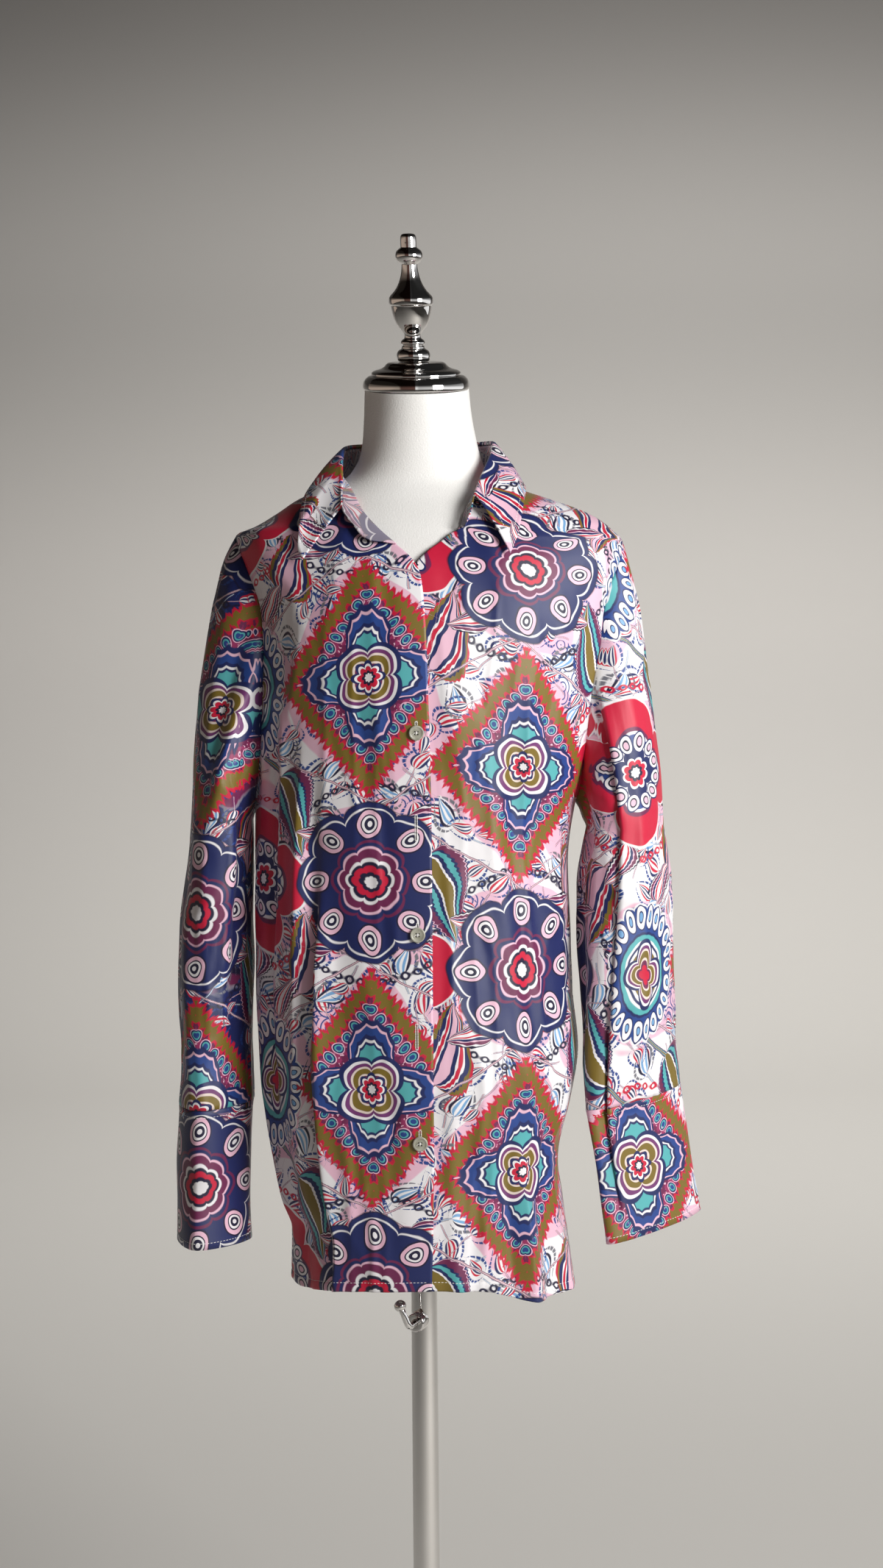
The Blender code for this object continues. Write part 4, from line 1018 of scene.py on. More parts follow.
def collar_pieces(line, kept):
    """The stand on the neck seam and the leaf that falls over from its fold."""
    turns = np.array([azimuth(point) for point in line])
    order = np.argsort(-turns)
    turns = turns[order]
    feet = np.array([point + outward_normal(point) * 1.9 for point in line[order]])

    def frame_at(turn):
        foot = np.array([np.interp(-turn, -turns, feet[:, i]) for i in range(3)])
        return (foot, *collar_frame(turn, foot))

    columns = np.linspace(turns[0], turns[-1], STAND_COLUMNS)
    rows = np.linspace(0.0, 1.0, STAND_ROWS)[:, None]
    stand = np.zeros((len(rows), len(columns), 3))
    for c, turn in enumerate(columns):
        foot, here, up, off = frame_at(turn)
        off = toward(off, np.array((here[0], here[1] - 5.0, 0.0)))
        top = here - up * (3.2 if LEAF_END < turn < LEAF_START else 0.0)
        stand[:, c] = foot + (top - foot) * rows + off * (1.6 * rows * (1 - rows))
    flat = flattened(stand, (lengths(stand, 1), lengths(stand, 0)))
    cloth_piece("collar_stand", stand, flat, neck_middle)

    columns = np.linspace(LEAF_START, LEAF_END, LEAF_COLUMNS)
    parts = np.linspace(0.0, 1.0, LEAF_ROWS + 1)[:, None]
    leaf = np.zeros((LEAF_ROWS + 4, len(columns), 3))
    for c, turn in enumerate(columns):
        foot, here, up, off = frame_at(turn)
        x, height, side, lift = (float(column(LEAF_EDGE, turn, i)) for i in (1, 2, 3, 4))
        angle = float(angle_at(x, height, 1 if side > 0 else -1))
        out = body_normal(angle, height)
        stop = cloth_point(angle, height, 0) + out * lift
        off = toward(off, stop - here)
        leaf[:3, c] = here - up * 2.5, here - up * 0.9 + off * 0.1, here + up * 0.25 + off * 0.95
        first = here - up * 0.5 + off * 2.1
        middle = (first + stop) / 2.0 + off * 1.7 + out * 2.4
        leaf[3:, c] = bowed(first, middle, stop, parts)
    normals = grid_normals(leaf, False)
    if normals[-1, :, 2].sum() < 0:
        normals = -normals
    fall = np.concatenate((np.zeros((3, 1)), parts))
    relief = 0.3 * bell((1 - fall) * 46.0, 3.5) + 0.25 * bell(from_ends(len(columns)), 2.0)
    leaf = leaf + normals * (relief * (fall > 0.1))[..., None]
    down = lengths(leaf, 0)
    share = down / down[-1:]
    across = lengths(leaf[-1:], 1) * share + lengths(leaf[:1], 1) * (1 - share)
    flat = flattened(leaf, (from_middle(across), down), 400)
    cloth_piece("collar_leaf", leaf, flat, neck_middle)
    kept["collar_leaf"] = (leaf, normals)


def laid(tree, kind, inputs, **settings):
    """A new node with its settings made and its inputs set, or linked where one is a socket."""
    node = tree.nodes.new("ShaderNode" + kind)
    for name, value in settings.items():
        setattr(node, name, value)
    for name, value in inputs.items():
        if isinstance(value, bpy.types.NodeSocket):
            tree.links.new(value, node.inputs[name])
        else:
            node.inputs[name].default_value = value
    return node


def mixed(tree, share, below, above, **settings):
    """Two colours mixed by a share."""
    inputs = {"Factor": share, "A": below, "B": above}
    return laid(tree, "Mix", inputs, data_type="RGBA", **settings).outputs["Result"]


def noise(tree, place, scale, detail):
    inputs = {"Vector": place, "Scale": scale, "Detail": detail}
    return laid(tree, "TexNoise", inputs, noise_dimensions="2D")


def one_step(operation):
    """A method that lays down one math node."""
    return lambda self, *others: self.step(operation, *others)


class Field:
    """A number that changes over the cloth: arithmetic on it lays down math nodes."""

    def __init__(self, tree, socket):
        self.tree = tree
        self.socket = socket

    def step(self, operation, *others):
        values = [v.socket if isinstance(v, Field) else v for v in (self,) + others]
        node = laid(self.tree, "Math", dict(enumerate(values)), operation=operation)
        return Field(self.tree, node.outputs[0])

    __add__ = __radd__ = one_step("ADD")
    __sub__ = one_step("SUBTRACT")
    __mul__ = __rmul__ = one_step("MULTIPLY")
    __truediv__ = one_step("DIVIDE")
    __abs__ = one_step("ABSOLUTE")
    cos = one_step("COSINE")
    sin = one_step("SINE")
    root = one_step("SQRT")
    nearest = one_step("ROUND")
    sign = one_step("SIGN")
    low = one_step("MINIMUM")
    high = one_step("MAXIMUM")
    # the angle of the point (x, field)
    over = one_step("ARCTAN2")

    def __rsub__(self, other):
        return (self * -1.0) + other

    def power(self, other):
        return self * self if other == 2.0 else self.step("POWER", other)

    def wave(self, length):
        """A saw-tooth that runs from 0 to 1 and back over each length."""
        return self.step("PINGPONG", length / 2.0) * (2.0 / length)

    def below(self, edge, soft=0.02):
        """1 where the field is under the edge, 0 above it."""
        inputs = {"Value": self.socket, "From Min": edge - soft, "From Max": edge + soft}
        node = laid(self.tree, "MapRange", {**inputs, "To Min": 1.0, "To Max": 0.0})
        return Field(self.tree, node.outputs["Result"])


def fields(tree, kind, value, words):
    """The parts of a place or a colour."""
    node = laid(tree, kind, {0: value})
    return [Field(tree, node.outputs[word]) for word in words]


def far(x, y):
    return (x * x + y * y).root()


INKS = {
    "white": (0.82, 0.80, 0.82),
    "cream": (0.76, 0.64, 0.58),
    "pink": (0.78, 0.48, 0.60),
    "rose": (0.30, 0.03, 0.115),
    "crimson": (0.56, 0.010, 0.045),
    "plum": (0.15, 0.018, 0.075),
    "violet": (0.16, 0.035, 0.15),
    "navy": (0.012, 0.020, 0.105),
    "royal": (0.018, 0.055, 0.24),
    "sky": (0.17, 0.36, 0.62),
    "teal": (0.09, 0.40, 0.42),
    "olive": (0.19, 0.13, 0.02),
    "ink": (0.012, 0.01, 0.04),
    "grey": (0.16, 0.16, 0.19),
}


def inked(field, rings, below):
    """Rings of ink by a level that grows outward; clear beyond the last ring."""
    tree = field.tree
    top = rings[-1][0]
    node = laid(tree, "ValToRGB", {"Fac": (field * (0.98 / top)).socket})
    stops = node.color_ramp.elements
    marks = []
    start = 0.0
    for stop, ink in rings:
        marks += [(start / top, ink), (stop / top - 0.006, ink)]
        start = stop + 0.006 * top
    while len(stops) < len(marks):
        stops.new(0.5)
    for element, (place, ink) in zip(stops, marks):
        element.position = min(max(place, 0.0), 1.0) * 0.98
        element.color = (*INKS[ink], 1.0)
    mask = field.below(top - 0.012 * top, 0.012 * top)
    return mixed(tree, mask.socket, below, node.outputs["Color"])


def washed(mask, ink, below):
    """One ink laid where a mask is 1."""
    return mixed(mask.tree, mask.socket, below, (*INKS[ink], 1.0))


def repeat(x, y, wide, tall, x0, y0):
    """Places from the centre of the nearest motif of a half-drop repeat, its column and row."""
    column_ = ((x - x0) * (1.0 / wide)).nearest()
    across = x - x0 - column_ * wide
    lowered = y - y0 - column_ * (tall * 0.5)
    row = (lowered * (1.0 / tall)).nearest()
    return across, lowered - row * tall, column_, row


def spokes(turn, count):
    """A turn counted from the nearest of a number of spokes."""
    return (turn * (count / (2 * math.pi))).nearest() * (-2 * math.pi / count) + turn


def turned(x, y, degrees):
    across = math.cos(math.radians(degrees))
    along = math.sin(math.radians(degrees))
    return x * across + y * along, y * across - x * along


def leaf_level(x, y, long, wide, bend):
    """A pointed drop that curls at its tip: 0 along its spine and 1 at its edge."""
    part = (y * (1.0 / long) + 0.32).low(0.999).high(0.001)
    spine = x - part * part * bend
    half = part.root() * (1.0 - part).power(0.85) * (wide * 2.05)
    return abs(spine) / half.high(0.02)


def petal_level(r, turn, count, size, depth, sharp):
    """A round flower's level: 1 at its scalloped edge."""
    lobe = abs((turn * (count / 2.0)).cos())
    if sharp != 1.0:
        lobe = lobe.power(sharp)
    return r / (lobe * (size * depth) + size * (1.0 - depth))


def group_of(name, sockets):
    """A node group with its sockets; returns it with its two ends."""
    tree = bpy.data.node_groups.new(name, "ShaderNodeTree")
    for word, way, kind in sockets:
        tree.interface.new_socket(word, in_out=way, socket_type="NodeSocket" + kind)
    return tree, tree.nodes.new("NodeGroupInput"), tree.nodes.new("NodeGroupOutput")


def scattered(tree, x, y, colour):
    """Small beaded drops that lie on the ground, each turned its own way."""
    for size, x0, y0, long, (first, second) in SCATTER:
        sx, sy, scol, srow = repeat(x, y, size, size * 0.92, x0, y0)
        pair = laid(tree, "CombineXYZ", {"X": scol.socket, "Y": srow.socket}).outputs[0]
        chance = laid(tree, "TexWhiteNoise", {"Vector": pair}, noise_dimensions="2D")
        spin = Field(tree, chance.outputs["Value"]) * FULL_TURN
        (other,) = fields(tree, "SeparateColor", chance.outputs["Color"], ["Green"])
        across, along = spin.cos(), spin.sin()
        sx = sx + (other - 0.5) * (size * 0.3)
        dx = sx * across + sy * along
        dy = sy * across - sx * along
        level = leaf_level(dx, dy, long, long * 0.40, long * 0.50)
        wider = leaf_level(dx, dy + 0.6, long + 6.0, long * 0.40 + 4.6, long * 0.50)
        ring = abs(wider - 1.0).below(0.13, 0.05)
        beads = ring * (0.30 - abs((dy.over(dx) * 9.0).cos())).below(0.0, 0.1)
        for mask, ink in (
            (beads, "grey" if first == "ink" else "royal"),
            (abs(level - 0.84).below(0.17, 0.05), first),
            (level.below(0.68, 0.03), "white"),
            (level.below(0.50, 0.05), second),
            (level.below(0.18, 0.05), "white"),
        ):
            colour = washed(mask, ink, colour)
    return colour


def print_group():
    """The cloth's print: flowers, lozenges, leaves and drops in a half-drop repeat."""
    sockets = [("Place", "INPUT", "Vector"), ("Color", "OUTPUT", "Color")]
    tree, inside, outside = group_of("blouse_print", sockets)
    place = inside.outputs["Place"]
    # a hand-drawn unsteadiness of a few millimetres
    hand = noise(tree, place, 34.0, 1.0).outputs["Color"]
    x, y = (
        part * (1000.0 / PRINT_SCALE) + shake * 6.0
        for part, shake in zip(
            fields(tree, "SeparateXYZ", place, "XY"),
            fields(tree, "SeparateColor", hand, ("Red", "Green")),
        )
    )
    cloud = Field(tree, noise(tree, place, 11.0, 1.5).outputs["Fac"])

    # the four places of a half-drop repeat that the large motifs stand on
    ax, ay = repeat(x, y, WIDE, TALL, 0.0, 0.0)[:2]
    bx, by = repeat(x, y, WIDE, TALL, WIDE / 2.0, 0.0)[:2]
    cx, cy = repeat(x, y, WIDE, TALL, 0.0, TALL / 2.0)[:2]
    lx, ly = repeat(x, y, WIDE, TALL, WIDE / 2.0, TALL / 2.0)[:2]
    ar, at = far(ax, ay), ay.over(ax)
    br, bt = far(bx, by), by.over(bx)
    cr, ct = far(cx, cy), cy.over(cx)
    lens = ((lx * lx) * (1.0 / LENS_WIDE ** 2) + (ly * ly) * (1.0 / LENS_TALL ** 2)).root()
    lt = (ly * (LENS_WIDE / LENS_TALL)).over(lx)
    half = ay.sign()
    px = ax * half
    py = abs(ay)

    white = tree.nodes.new("ShaderNodeRGB")
    white.outputs[0].default_value = (*INKS["white"], 1.0)
    colour = white.outputs[0]

    # pink clouds round the large motifs
    lozenge = abs(ax) * (1.0 / LOZENGE_WIDE) + abs(ay) * (1.0 / LOZENGE_TALL)
    halo = ((lozenge - 0.95) * 80.0).low(br - 50.0).low(cr - 54.0).low((lens - 1.0) * 45.0)
    colour = washed((halo + cloud * -46.0 + 17.0).below(0.0, 0.8), "pink", colour)
    colour = washed((cloud - 0.33).below(0.0, 0.006), "pink", colour)

    # the darker length of the print, that the wearer's right sleeve is cut from
    night = x.below(NIGHT_EDGE, 1.0)
    for level, ink in ((0.535 - cloud, "plum"), (cloud - 0.535, "navy"), (0.60 - cloud, "ink")):
        colour = washed(night * level.below(0.0, 0.01), ink, colour)

    # patches of fine blue lace
    inputs = {"Vector": place, "Scale": 62.0, "Randomness": 0.7}
    cell = laid(tree, "TexVoronoi", inputs, voronoi_dimensions="2D")
    knots = Field(tree, cell.outputs["Distance"]).wave(0.26).below(0.30, 0.10)
    colour = washed(knots * (0.66 - cloud).below(0.0, 0.004), "royal", colour)
    colour = scattered(tree, x, y, colour)

    # chains of beads round the flowers
    for radius, turn, way, count, ink in (
        (br, bt, 64.0, 44.0, "crimson"), (cr, ct, 72.0, 52.0, "ink"),
    ):
        bead = far(radius - way, (turn * (count / 2.0)).sin() * (way * 2.0 / count))
        colour = washed(abs(bead - 2.1).below(0.75, 0.3), ink, colour)

    # drops beside the lozenges, each end turned about
    for x0, y0, degrees, long, wide, bend, rings in DROPS:
        dx, dy = turned(px - x0, py - y0, degrees)
        fringe = leaf_level(dx, dy, long, wide, bend) * (1.0 + (dy + dx).wave(4.6) * 0.09)
        colour = inked(fringe, rings, colour)

    # round flowers with ring eyes on the lowered places
    colour = inked(petal_level(br, bt, 4, 56.0, 0.36, 0.7), RED_RINGS, colour)
    colour = inked(petal_level(cr, ct, 8, 60.0, 0.14, 0.6), BLUE_RINGS, colour)
    for radius, turn, count, way, rings in (
        (br, bt + 0.2618, 12.0, 23.0, LOOP_RINGS), (cr, ct, 8.0, 42.0, EYE_RINGS),
    ):
        folded = spokes(turn, count)
        across = radius * folded.cos() - way
        along = radius * folded.sin()
        colour = inked((across * across * 0.6 + along * along).root(), rings, colour)
    colour = inked(petal_level(br, bt + 0.39, 8, 15.0, 0.28, 0.7), HEART_RINGS, colour)

    # the upright medallion of lace
    scallop = abs((lt * 11.0).cos()).power(0.5) * 0.10
    lace = lens + (0.10 - scallop) * (lens - 0.5).high(0.0) * 2.0
    colour = inked(lace, LACE_RINGS, colour)
    colour = inked(petal_level(lens * LENS_WIDE, lt, 4, 19.0, 0.42, 1.1), ROSE_RINGS, colour)
    petal = far(spokes(lt, 22.0) * (lens * 9.6), (lens - 0.79) * 5.6)
    colour = inked(petal, PETAL_RINGS, colour)

    # the lozenge with its toothed border and the rosette in it
    along_edge = abs(ax) - abs(ay) * 0.86
    edge = abs(ax) * 0.634 - abs(ay) * 0.773
    tooth = along_edge.wave(8.0) * 0.075 + (along_edge + 3.0).wave(3.4) * 0.03
    colour = inked(lozenge + tooth, LOZENGE_RINGS, colour)
    beside = edge - (edge * (1.0 / 9.0)).nearest() * 9.0
    colour = inked(far(beside * 0.25, (lozenge - 0.63) * 11.5), SCALLOP_RINGS, colour)
    speck = Field(tree, noise(tree, place, 420.0, 0.0).outputs["Fac"])
    dust = (0.74 - speck).below(0.0, 0.02) * abs(lozenge - 0.50).below(0.10, 0.04)
    colour = washed(dust, "pink", colour)
    frill = abs((at * 18.0).cos()) * 0.05
    star = petal_level(ar, at, 4, 54.0, 0.52, 1.5) + frill * (ar * (1.0 / 54.0))
    colour = inked(star, STAR_RINGS, colour)
    colour = inked(petal_level(ar, at + 0.7854, 4, 29.0, 0.32, 0.8), ROSE_RINGS, colour)
    colour = inked(petal_level(ar, at, 8, 12.5, 0.30, 0.8), HEART_RINGS, colour)
    tree.links.new(colour, outside.inputs["Color"])
    return tree


def weave_group():
    """A satin's fine ribs as a height, read from the flat cut."""
    sockets = [("Place", "INPUT", "Vector"), ("Height", "OUTPUT", "Float")]
    tree, inside, outside = group_of("satin_weave", sockets)
    place = inside.outputs["Place"]
    x, y = (part * 1000.0 for part in fields(tree, "SeparateXYZ", place, "XY"))
    slub = laid(tree, "TexNoise", {"Vector": place, "Scale": 60.0, "Detail": 3.0})
    ribs = ((x + y) * 9.0).sin() * 0.25 + ((x - y * 2.0) * 7.0).sin() * 0.15
    height = ribs + Field(tree, slub.outputs["Fac"]) * 2.2
    tree.links.new(height.socket, outside.inputs["Height"])
    return tree


def mottle_group():
    """Slow and fine unevenness of a hard finish, from the place on the piece."""
    sockets = [(word, "INPUT", "Float") for word in ("Size", "Low", "High")]
    tree, inside, outside = group_of("mottle", sockets + [("Value", "OUTPUT", "Float")])
    size, least, most = inside.outputs[:3]
    place = tree.nodes.new("ShaderNodeTexCoord").outputs["Object"]
    cloud = laid(tree, "TexNoise", {"Vector": place, "Scale": size, "Detail": 4.0})
    spread = laid(tree, "MapRange", {
        "Value": cloud.outputs["Fac"], "From Min": 0.3, "From Max": 0.7,
        "To Min": least, "To Max": most,
    })
    tree.links.new(spread.outputs["Result"], outside.inputs["Value"])
    return tree


GROUPS = {}


def group_node(tree, name):
    if name not in GROUPS:
        GROUPS[name] = {"print": print_group, "weave": weave_group, "mottle": mottle_group}[name]()
    node = tree.nodes.new("ShaderNodeGroup")
    node.node_tree = GROUPS[name]
    return node


def bare_material(name, roughness, metallic=0.0):
    material = bpy.data.materials.new(name)
    material.use_nodes = True
    shader = material.node_tree.nodes["Principled BSDF"]
    shader.inputs["Roughness"].default_value = roughness
    shader.inputs["Metallic"].default_value = metallic
    return material, material.node_tree, shader


def bumped(tree, shader, height, strength, distance):
    inputs = {"Height": height, "Strength": strength, "Distance": distance}
    tree.links.new(laid(tree, "Bump", inputs).outputs["Normal"], shader.inputs["Normal"])


def cloth_material(name, faded):
    """The printed satin; the wrong side shows the print paler and duller."""
    material, tree, shader = bare_material(name, 0.62 if faded else 0.40)
    place = laid(tree, "UVMap", {}, uv_map="flat").outputs["UV"]
    printed, weave = group_node(tree, "print"), group_node(tree, "weave")
    for node in (printed, weave):
        tree.links.new(place, node.inputs["Place"])
    colour = printed.outputs["Color"]
    if faded:
        colour = mixed(tree, 0.42, colour, (0.50, 0.44, 0.48, 1.0))
    tree.links.new(colour, shader.inputs["Base Color"])
    bumped(tree, shader, weave.outputs["Height"], 0.25, 0.0004)
    shader.inputs["Specular IOR Level"].default_value = 0.5
    shader.inputs["Sheen Weight"].default_value = 0.10
    shader.inputs["Sheen Roughness"].default_value = 0.4
    return material


def mottle(tree, size, least, most):
    node = group_node(tree, "mottle")
    for word, value in (("Size", size), ("Low", least), ("High", most)):
        node.inputs[word].default_value = value
    return node.outputs["Value"]


def hard_material(name, dark, light, size, roughness, metallic, bump_depth=0.0, grain=0.0):
    """Paint, chrome or shell: two near tones and a roughness that vary over the piece."""
    material, tree, shader = bare_material(name, roughness[0], metallic)
    tone = mixed(tree, mottle(tree, size, 0.0, 1.0), (*dark, 1.0), (*light, 1.0))
    tree.links.new(tone, shader.inputs["Base Color"])
    tree.links.new(mottle(tree, size * 3.1, *roughness), shader.inputs["Roughness"])
    if bump_depth:
        bumped(tree, shader, mottle(tree, grain, 0.0, 1.0), 0.3, bump_depth)
    return material


LOOKS = {}


def look(name):
    if name not in LOOKS:
        if name == "cloth":
            LOOKS[name] = cloth_material("printed_satin", False)
        elif name == "cloth_inside":
            LOOKS[name] = cloth_material("printed_satin_wrong_side", True)
        else:
            LOOKS[name] = hard_material(name, *HARD[name])
    return LOOKS[name]


# dark tone, light tone, size of the mottling, roughness from and to, metallic, bump, grain
HARD = {
    "form_cover": ((0.80, 0.79, 0.765), (0.84, 0.83, 0.81), 9.0, (0.48, 0.58), 0.0, 0.0004, 700.0),
    "chrome": ((0.70, 0.68, 0.66), (0.80, 0.785, 0.77), 6.0, (0.035, 0.09), 1.0),
    "shell_button": ((0.26, 0.255, 0.20), (0.44, 0.43, 0.36), 160.0, (0.22, 0.36), 0.0),
    "hole_shade": ((0.012, 0.010, 0.010), (0.03, 0.025, 0.02), 800.0, (0.7, 0.9), 0.0),
    "sewing_thread": ((0.80, 0.78, 0.76), (0.90, 0.89, 0.87), 900.0, (0.5, 0.7), 0.0),
}


def dress(thing, name):
    thing.data.materials.clear()
    thing.data.materials.append(look(name))
    if name == "cloth":
        thing.data.materials.append(look("cloth_inside"))
    return thing


def bead(mesh, centre, way, out, long, thick, high):
    """One flattened stitch that lies along its way."""
    way = Vector(way).normalized()
    out = Vector(out).normalized()
    side = out.cross(way).normalized()
    out = way.cross(side)
    turn = Matrix((side, way, out)).transposed().to_4x4()
    size = Matrix.Diagonal((thick / 2, long / 2, high / 2, 1.0))
    place = Matrix.Translation(Vector(centre))
    scale = Matrix.Diagonal((MM, MM, MM, 1.0))
    bmesh.ops.create_uvsphere(
        mesh, u_segments=6, v_segments=4, radius=1.0, matrix=scale @ place @ turn @ size
    )


def walk(path, normals, spacing):
    """Evenly spaced places along a path with the way and the way out at each."""
    path = np.array(path)
    steps = np.linalg.norm(np.diff(path, axis=0), axis=1)
    run = np.concatenate(([0.0], np.cumsum(steps)))
    count = int(run[-1] / spacing)
    marks = (np.arange(count) + 0.5) * spacing
    points = np.stack([np.interp(marks, run, path[:, i]) for i in range(3)], axis=1)
    outs = np.stack([np.interp(marks, run, normals[:, i]) for i in range(3)], axis=1)
    ways = np.gradient(points, axis=0)
    return points, ways, outs


def stitch_line(mesh, grid, normals, row=None, place=None, start=0, stop=None, lift=0.62):
    """Stitches along one row or column of a sheet."""
    if row is not None:
        path = grid[row, start:stop]
        out = normals[row, start:stop]
    else:
        path = grid[start:stop, place]
        out = normals[start:stop, place]
    points, ways, outs = walk(path + out * lift, out, STITCH_STEP)
    for point, way, up in zip(points, ways, outs):
        bead(mesh, point, way, up, *STITCH_SIZE)


def outward(grid, normals, centre):
    return normals if (normals * (grid - np.array(centre))).sum() > 0 else -normals


def stitches(kept):
    """White stitches at the hem, the cuffs and the collar's edge."""
    row = len([step for step in HEM_STEPS if step < HEM_DEEP])
    for name in ("front_right", "front_left", "back"):
        mesh = bmesh.new()
        stitch_line(mesh, *kept[name], row=row, start=2, stop=-2)
        sewn(mesh, name + "_hem_stitches")
    for name in ("cuff_right", "cuff_left"):
        mesh = bmesh.new()
        grid, normals = kept[name]
        normals = outward(grid, normals, (grid[..., 0].mean(), grid[..., 1].mean(), CUFF_MIDDLE))
        for row in (1, len(grid) - 2):
            stitch_line(mesh, grid, normals, row=row)
        sewn(mesh, name + "_stitches")
    mesh = bmesh.new()
    leaf, normals = kept["collar_leaf"]
    stitch_line(mesh, leaf, normals, row=len(leaf) - 3, start=5, stop=-5)
    for place in (5, -6):
        stitch_line(mesh, leaf, normals, place=place, start=5, stop=-2)
    sewn(mesh, "collar_leaf_stitches")


def sewn(mesh, name, finish="sewing_thread"):
    thing = finished(name, mesh)
    dress(thing, finish)
    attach(thing, "raised")


def lap_place(x, height, lift):
    """A place on the lap at x, its ways across, up and out."""
    angle = float(angle_at(x, height, 1))
    out = Vector(body_normal(angle, height))
    point = Vector(cloth_point(angle, height, 1)) + out * lift
    across = Vector((0, 0, 1)).cross(out).normalized()
    return point, across, out.cross(across), out


def buttonholes():
    """Worked slits: close stitches down both sides, a bar at each end, and a dark bead of painted
    shade between.
    """
    for number, (x, height, long) in enumerate(BUTTONHOLES):
        mesh = bmesh.new()
        slit = bmesh.new()
        count = int(long / CLOSE_STEP)
        for step in range(count):
            rise = (step - (count - 1) / 2.0) * CLOSE_STEP
            centre, across, up, out = lap_place(x, height + rise, 0.64)
            for side in (-1, 1):
                bead(mesh, centre + across * (side * 0.95), across, out, 1.25, 0.75, 0.5)
            # the dark bead down the slit is painted shade in the opening
            bead(slit, centre, up, out, 1.3, 0.75, 0.16)
        for end in (-1, 1):
            centre, across, up, out = lap_place(x, height + end * (long / 2.0 + 0.3), 0.68)
            bead(mesh, centre, across, out, 3.1, 0.9, 0.6)
        sewn(mesh, "buttonhole_" + str(number + 1))
        sewn(slit, "buttonhole_slit_shade_" + str(number + 1), "hole_shade")


def button_trim():
    """Each button's four holes, as dark discs of painted shade, and the stitch of thread that
    crosses them.
    """
    for number, (x, height) in enumerate(BUTTON_PLACES):
        centre, across, up, out = lap_place(x, height, BUTTON_SEAT + 1.66)
        mesh = bmesh.new()
        dark = bmesh.new()
        for one, two in ((-1, -1), (-1, 1), (1, -1), (1, 1)):
            hole = centre + across * (one * 1.25) + up * (two * 1.25)
            # each hole is a dark disc: painted shade in the hole
            bead(dark, hole, up, out, 1.5, 1.5, 0.2)
        for side in (-1, 1):
            bead(mesh, centre + across * (side * 0.35), up + across * 0.25, out, 3.4, 0.8, 1.0)
        end = centre + across * -2.6 - up * 0.6 + out * 0.35
        bead(mesh, end, across + up * 0.8, out, 5.0, 0.45, 0.45)
        sewn(mesh, "button_thread_" + str(number + 1))
        sewn(dark, "button_hole_shade_" + str(number + 1), "hole_shade")


def eased(profile, crisp=0.7):
    """A turned profile with its corners eased: soft where it only bends, crisp at steps."""
    points = [np.array(point, float) for point in profile]
    path = [points[0]]
    for before, here, after in zip(points, points[1:], points[2:]):
        one, two = before - here, after - here
        long_one, long_two = np.linalg.norm(one), np.linalg.norm(two)
        bend = math.pi - math.acos(max(-1.0, min(1.0, float(one @ two) / (long_one * long_two))))
        if bend < math.radians(48):
            first, last = here + one * 0.5, here + two * 0.5
        else:
            cut = min(0.5 * min(long_one, long_two), crisp)
            first, last = here + one / long_one * cut, here + two / long_two * cut
        path += [bowed(first, here, last, part) for part in np.linspace(0.0, 1.0, 6)]
    return path + [points[-1]]


def spun(name, profile, node, body, finish, place=None, steps=96, crisp=0.7):
    """A profile of radius and height turned about its axis, then set in its place."""
    mesh = bmesh.new()
    verts = [mesh.verts.new((r * MM, 0.0, z * MM)) for r, z in eased(profile, crisp)]
    edges = [mesh.edges.new(pair) for pair in zip(verts, verts[1:])]
    bmesh.ops.spin(
        mesh, geom=verts + edges, cent=(0, 0, 0), axis=(0, 0, 1),
        angle=2 * math.pi, steps=steps, use_merge=True,
    )
    bmesh.ops.remove_doubles(mesh, verts=mesh.verts, dist=0.000002)
    bmesh.ops.recalc_face_normals(mesh, faces=mesh.faces)
    if place:
        for vert in mesh.verts:
            vert.co = place(vert.co / MM) * MM
    hard_piece(finished(name, mesh), node, body, finish)


def hard_piece(thing, node, body, finish):
    dress(thing, finish)
    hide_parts(node)
    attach(thing, body)


def skinned(name, rings, node, body, finish):
    """A closed skin over rings of points, with both ends filled."""
    mesh = grid_mesh(joined(rings))
    bmesh.ops.remove_doubles(mesh, verts=mesh.verts, dist=0.000005)
    bmesh.ops.holes_fill(mesh, edges=mesh.edges, sides=0)
    bmesh.ops.recalc_face_normals(mesh, faces=mesh.faces)
    thing = finished(name, mesh)
    crisp = thing.modifiers.new("crisp ends", "EDGE_SPLIT")
    crisp.split_angle = math.radians(50.0)
    hard_piece(thing, node, body, finish)


def on_neck(point):
    """From the cap's own upright frame to the top of the leaning neck."""
    middle = Vector((0.0, (FORM[-1][4] - FORM[-1][3]) / 2.0, FORM[-1][0]))
    turn = Matrix.Rotation(NECK_LEAN, 3, "X")
    return middle + turn @ (point + Vector((0, 0, 0.3)))


def finial_place(point):
    side = FINIAL_SIDE + (point.z - FINIAL_PROFILE[0][1]) * math.tan(FINIAL_LEAN)
    return on_neck(point - Vector((side, 0, 0)))


def form_rings():
    """Sections of the torso every few millimetres; the neck's top leans forward."""
    turns = np.arange(0.0, 360.0, 3.0)
    heights = np.concatenate(([805.0, 806.0, 807.5, 809.5], np.linspace(813.0, 1450.0, 110)))
    rings = []
    for height in heights:
        ring = section_point(FORM, turns, height)
        lean = math.tan(NECK_LEAN) * float(ramp((height - LEAN_START) / (FORM[-1][0] - LEAN_START)))
        middle = float(column(FORM, height, 4) - column(FORM, height, 3)) / 2.0
        ring[:, 2] += (ring[:, 1] - middle) * lean
        rings.append(ring)
    return np.array(rings)


def clamp_place(point):
    """The nut's own axis turned to point out of the pole at the clamp's height."""
    reach = point.z
    if reach < 17.0:
        reach = max(reach, math.sqrt((TUBE_RADIUS + 0.3) ** 2 - min(abs(point.x), 9.0) ** 2))
    return Vector((0, 0, CLAMP_HEIGHT + point.y)) + CLAMP_OUT * reach + CLAMP_ACROSS * point.x


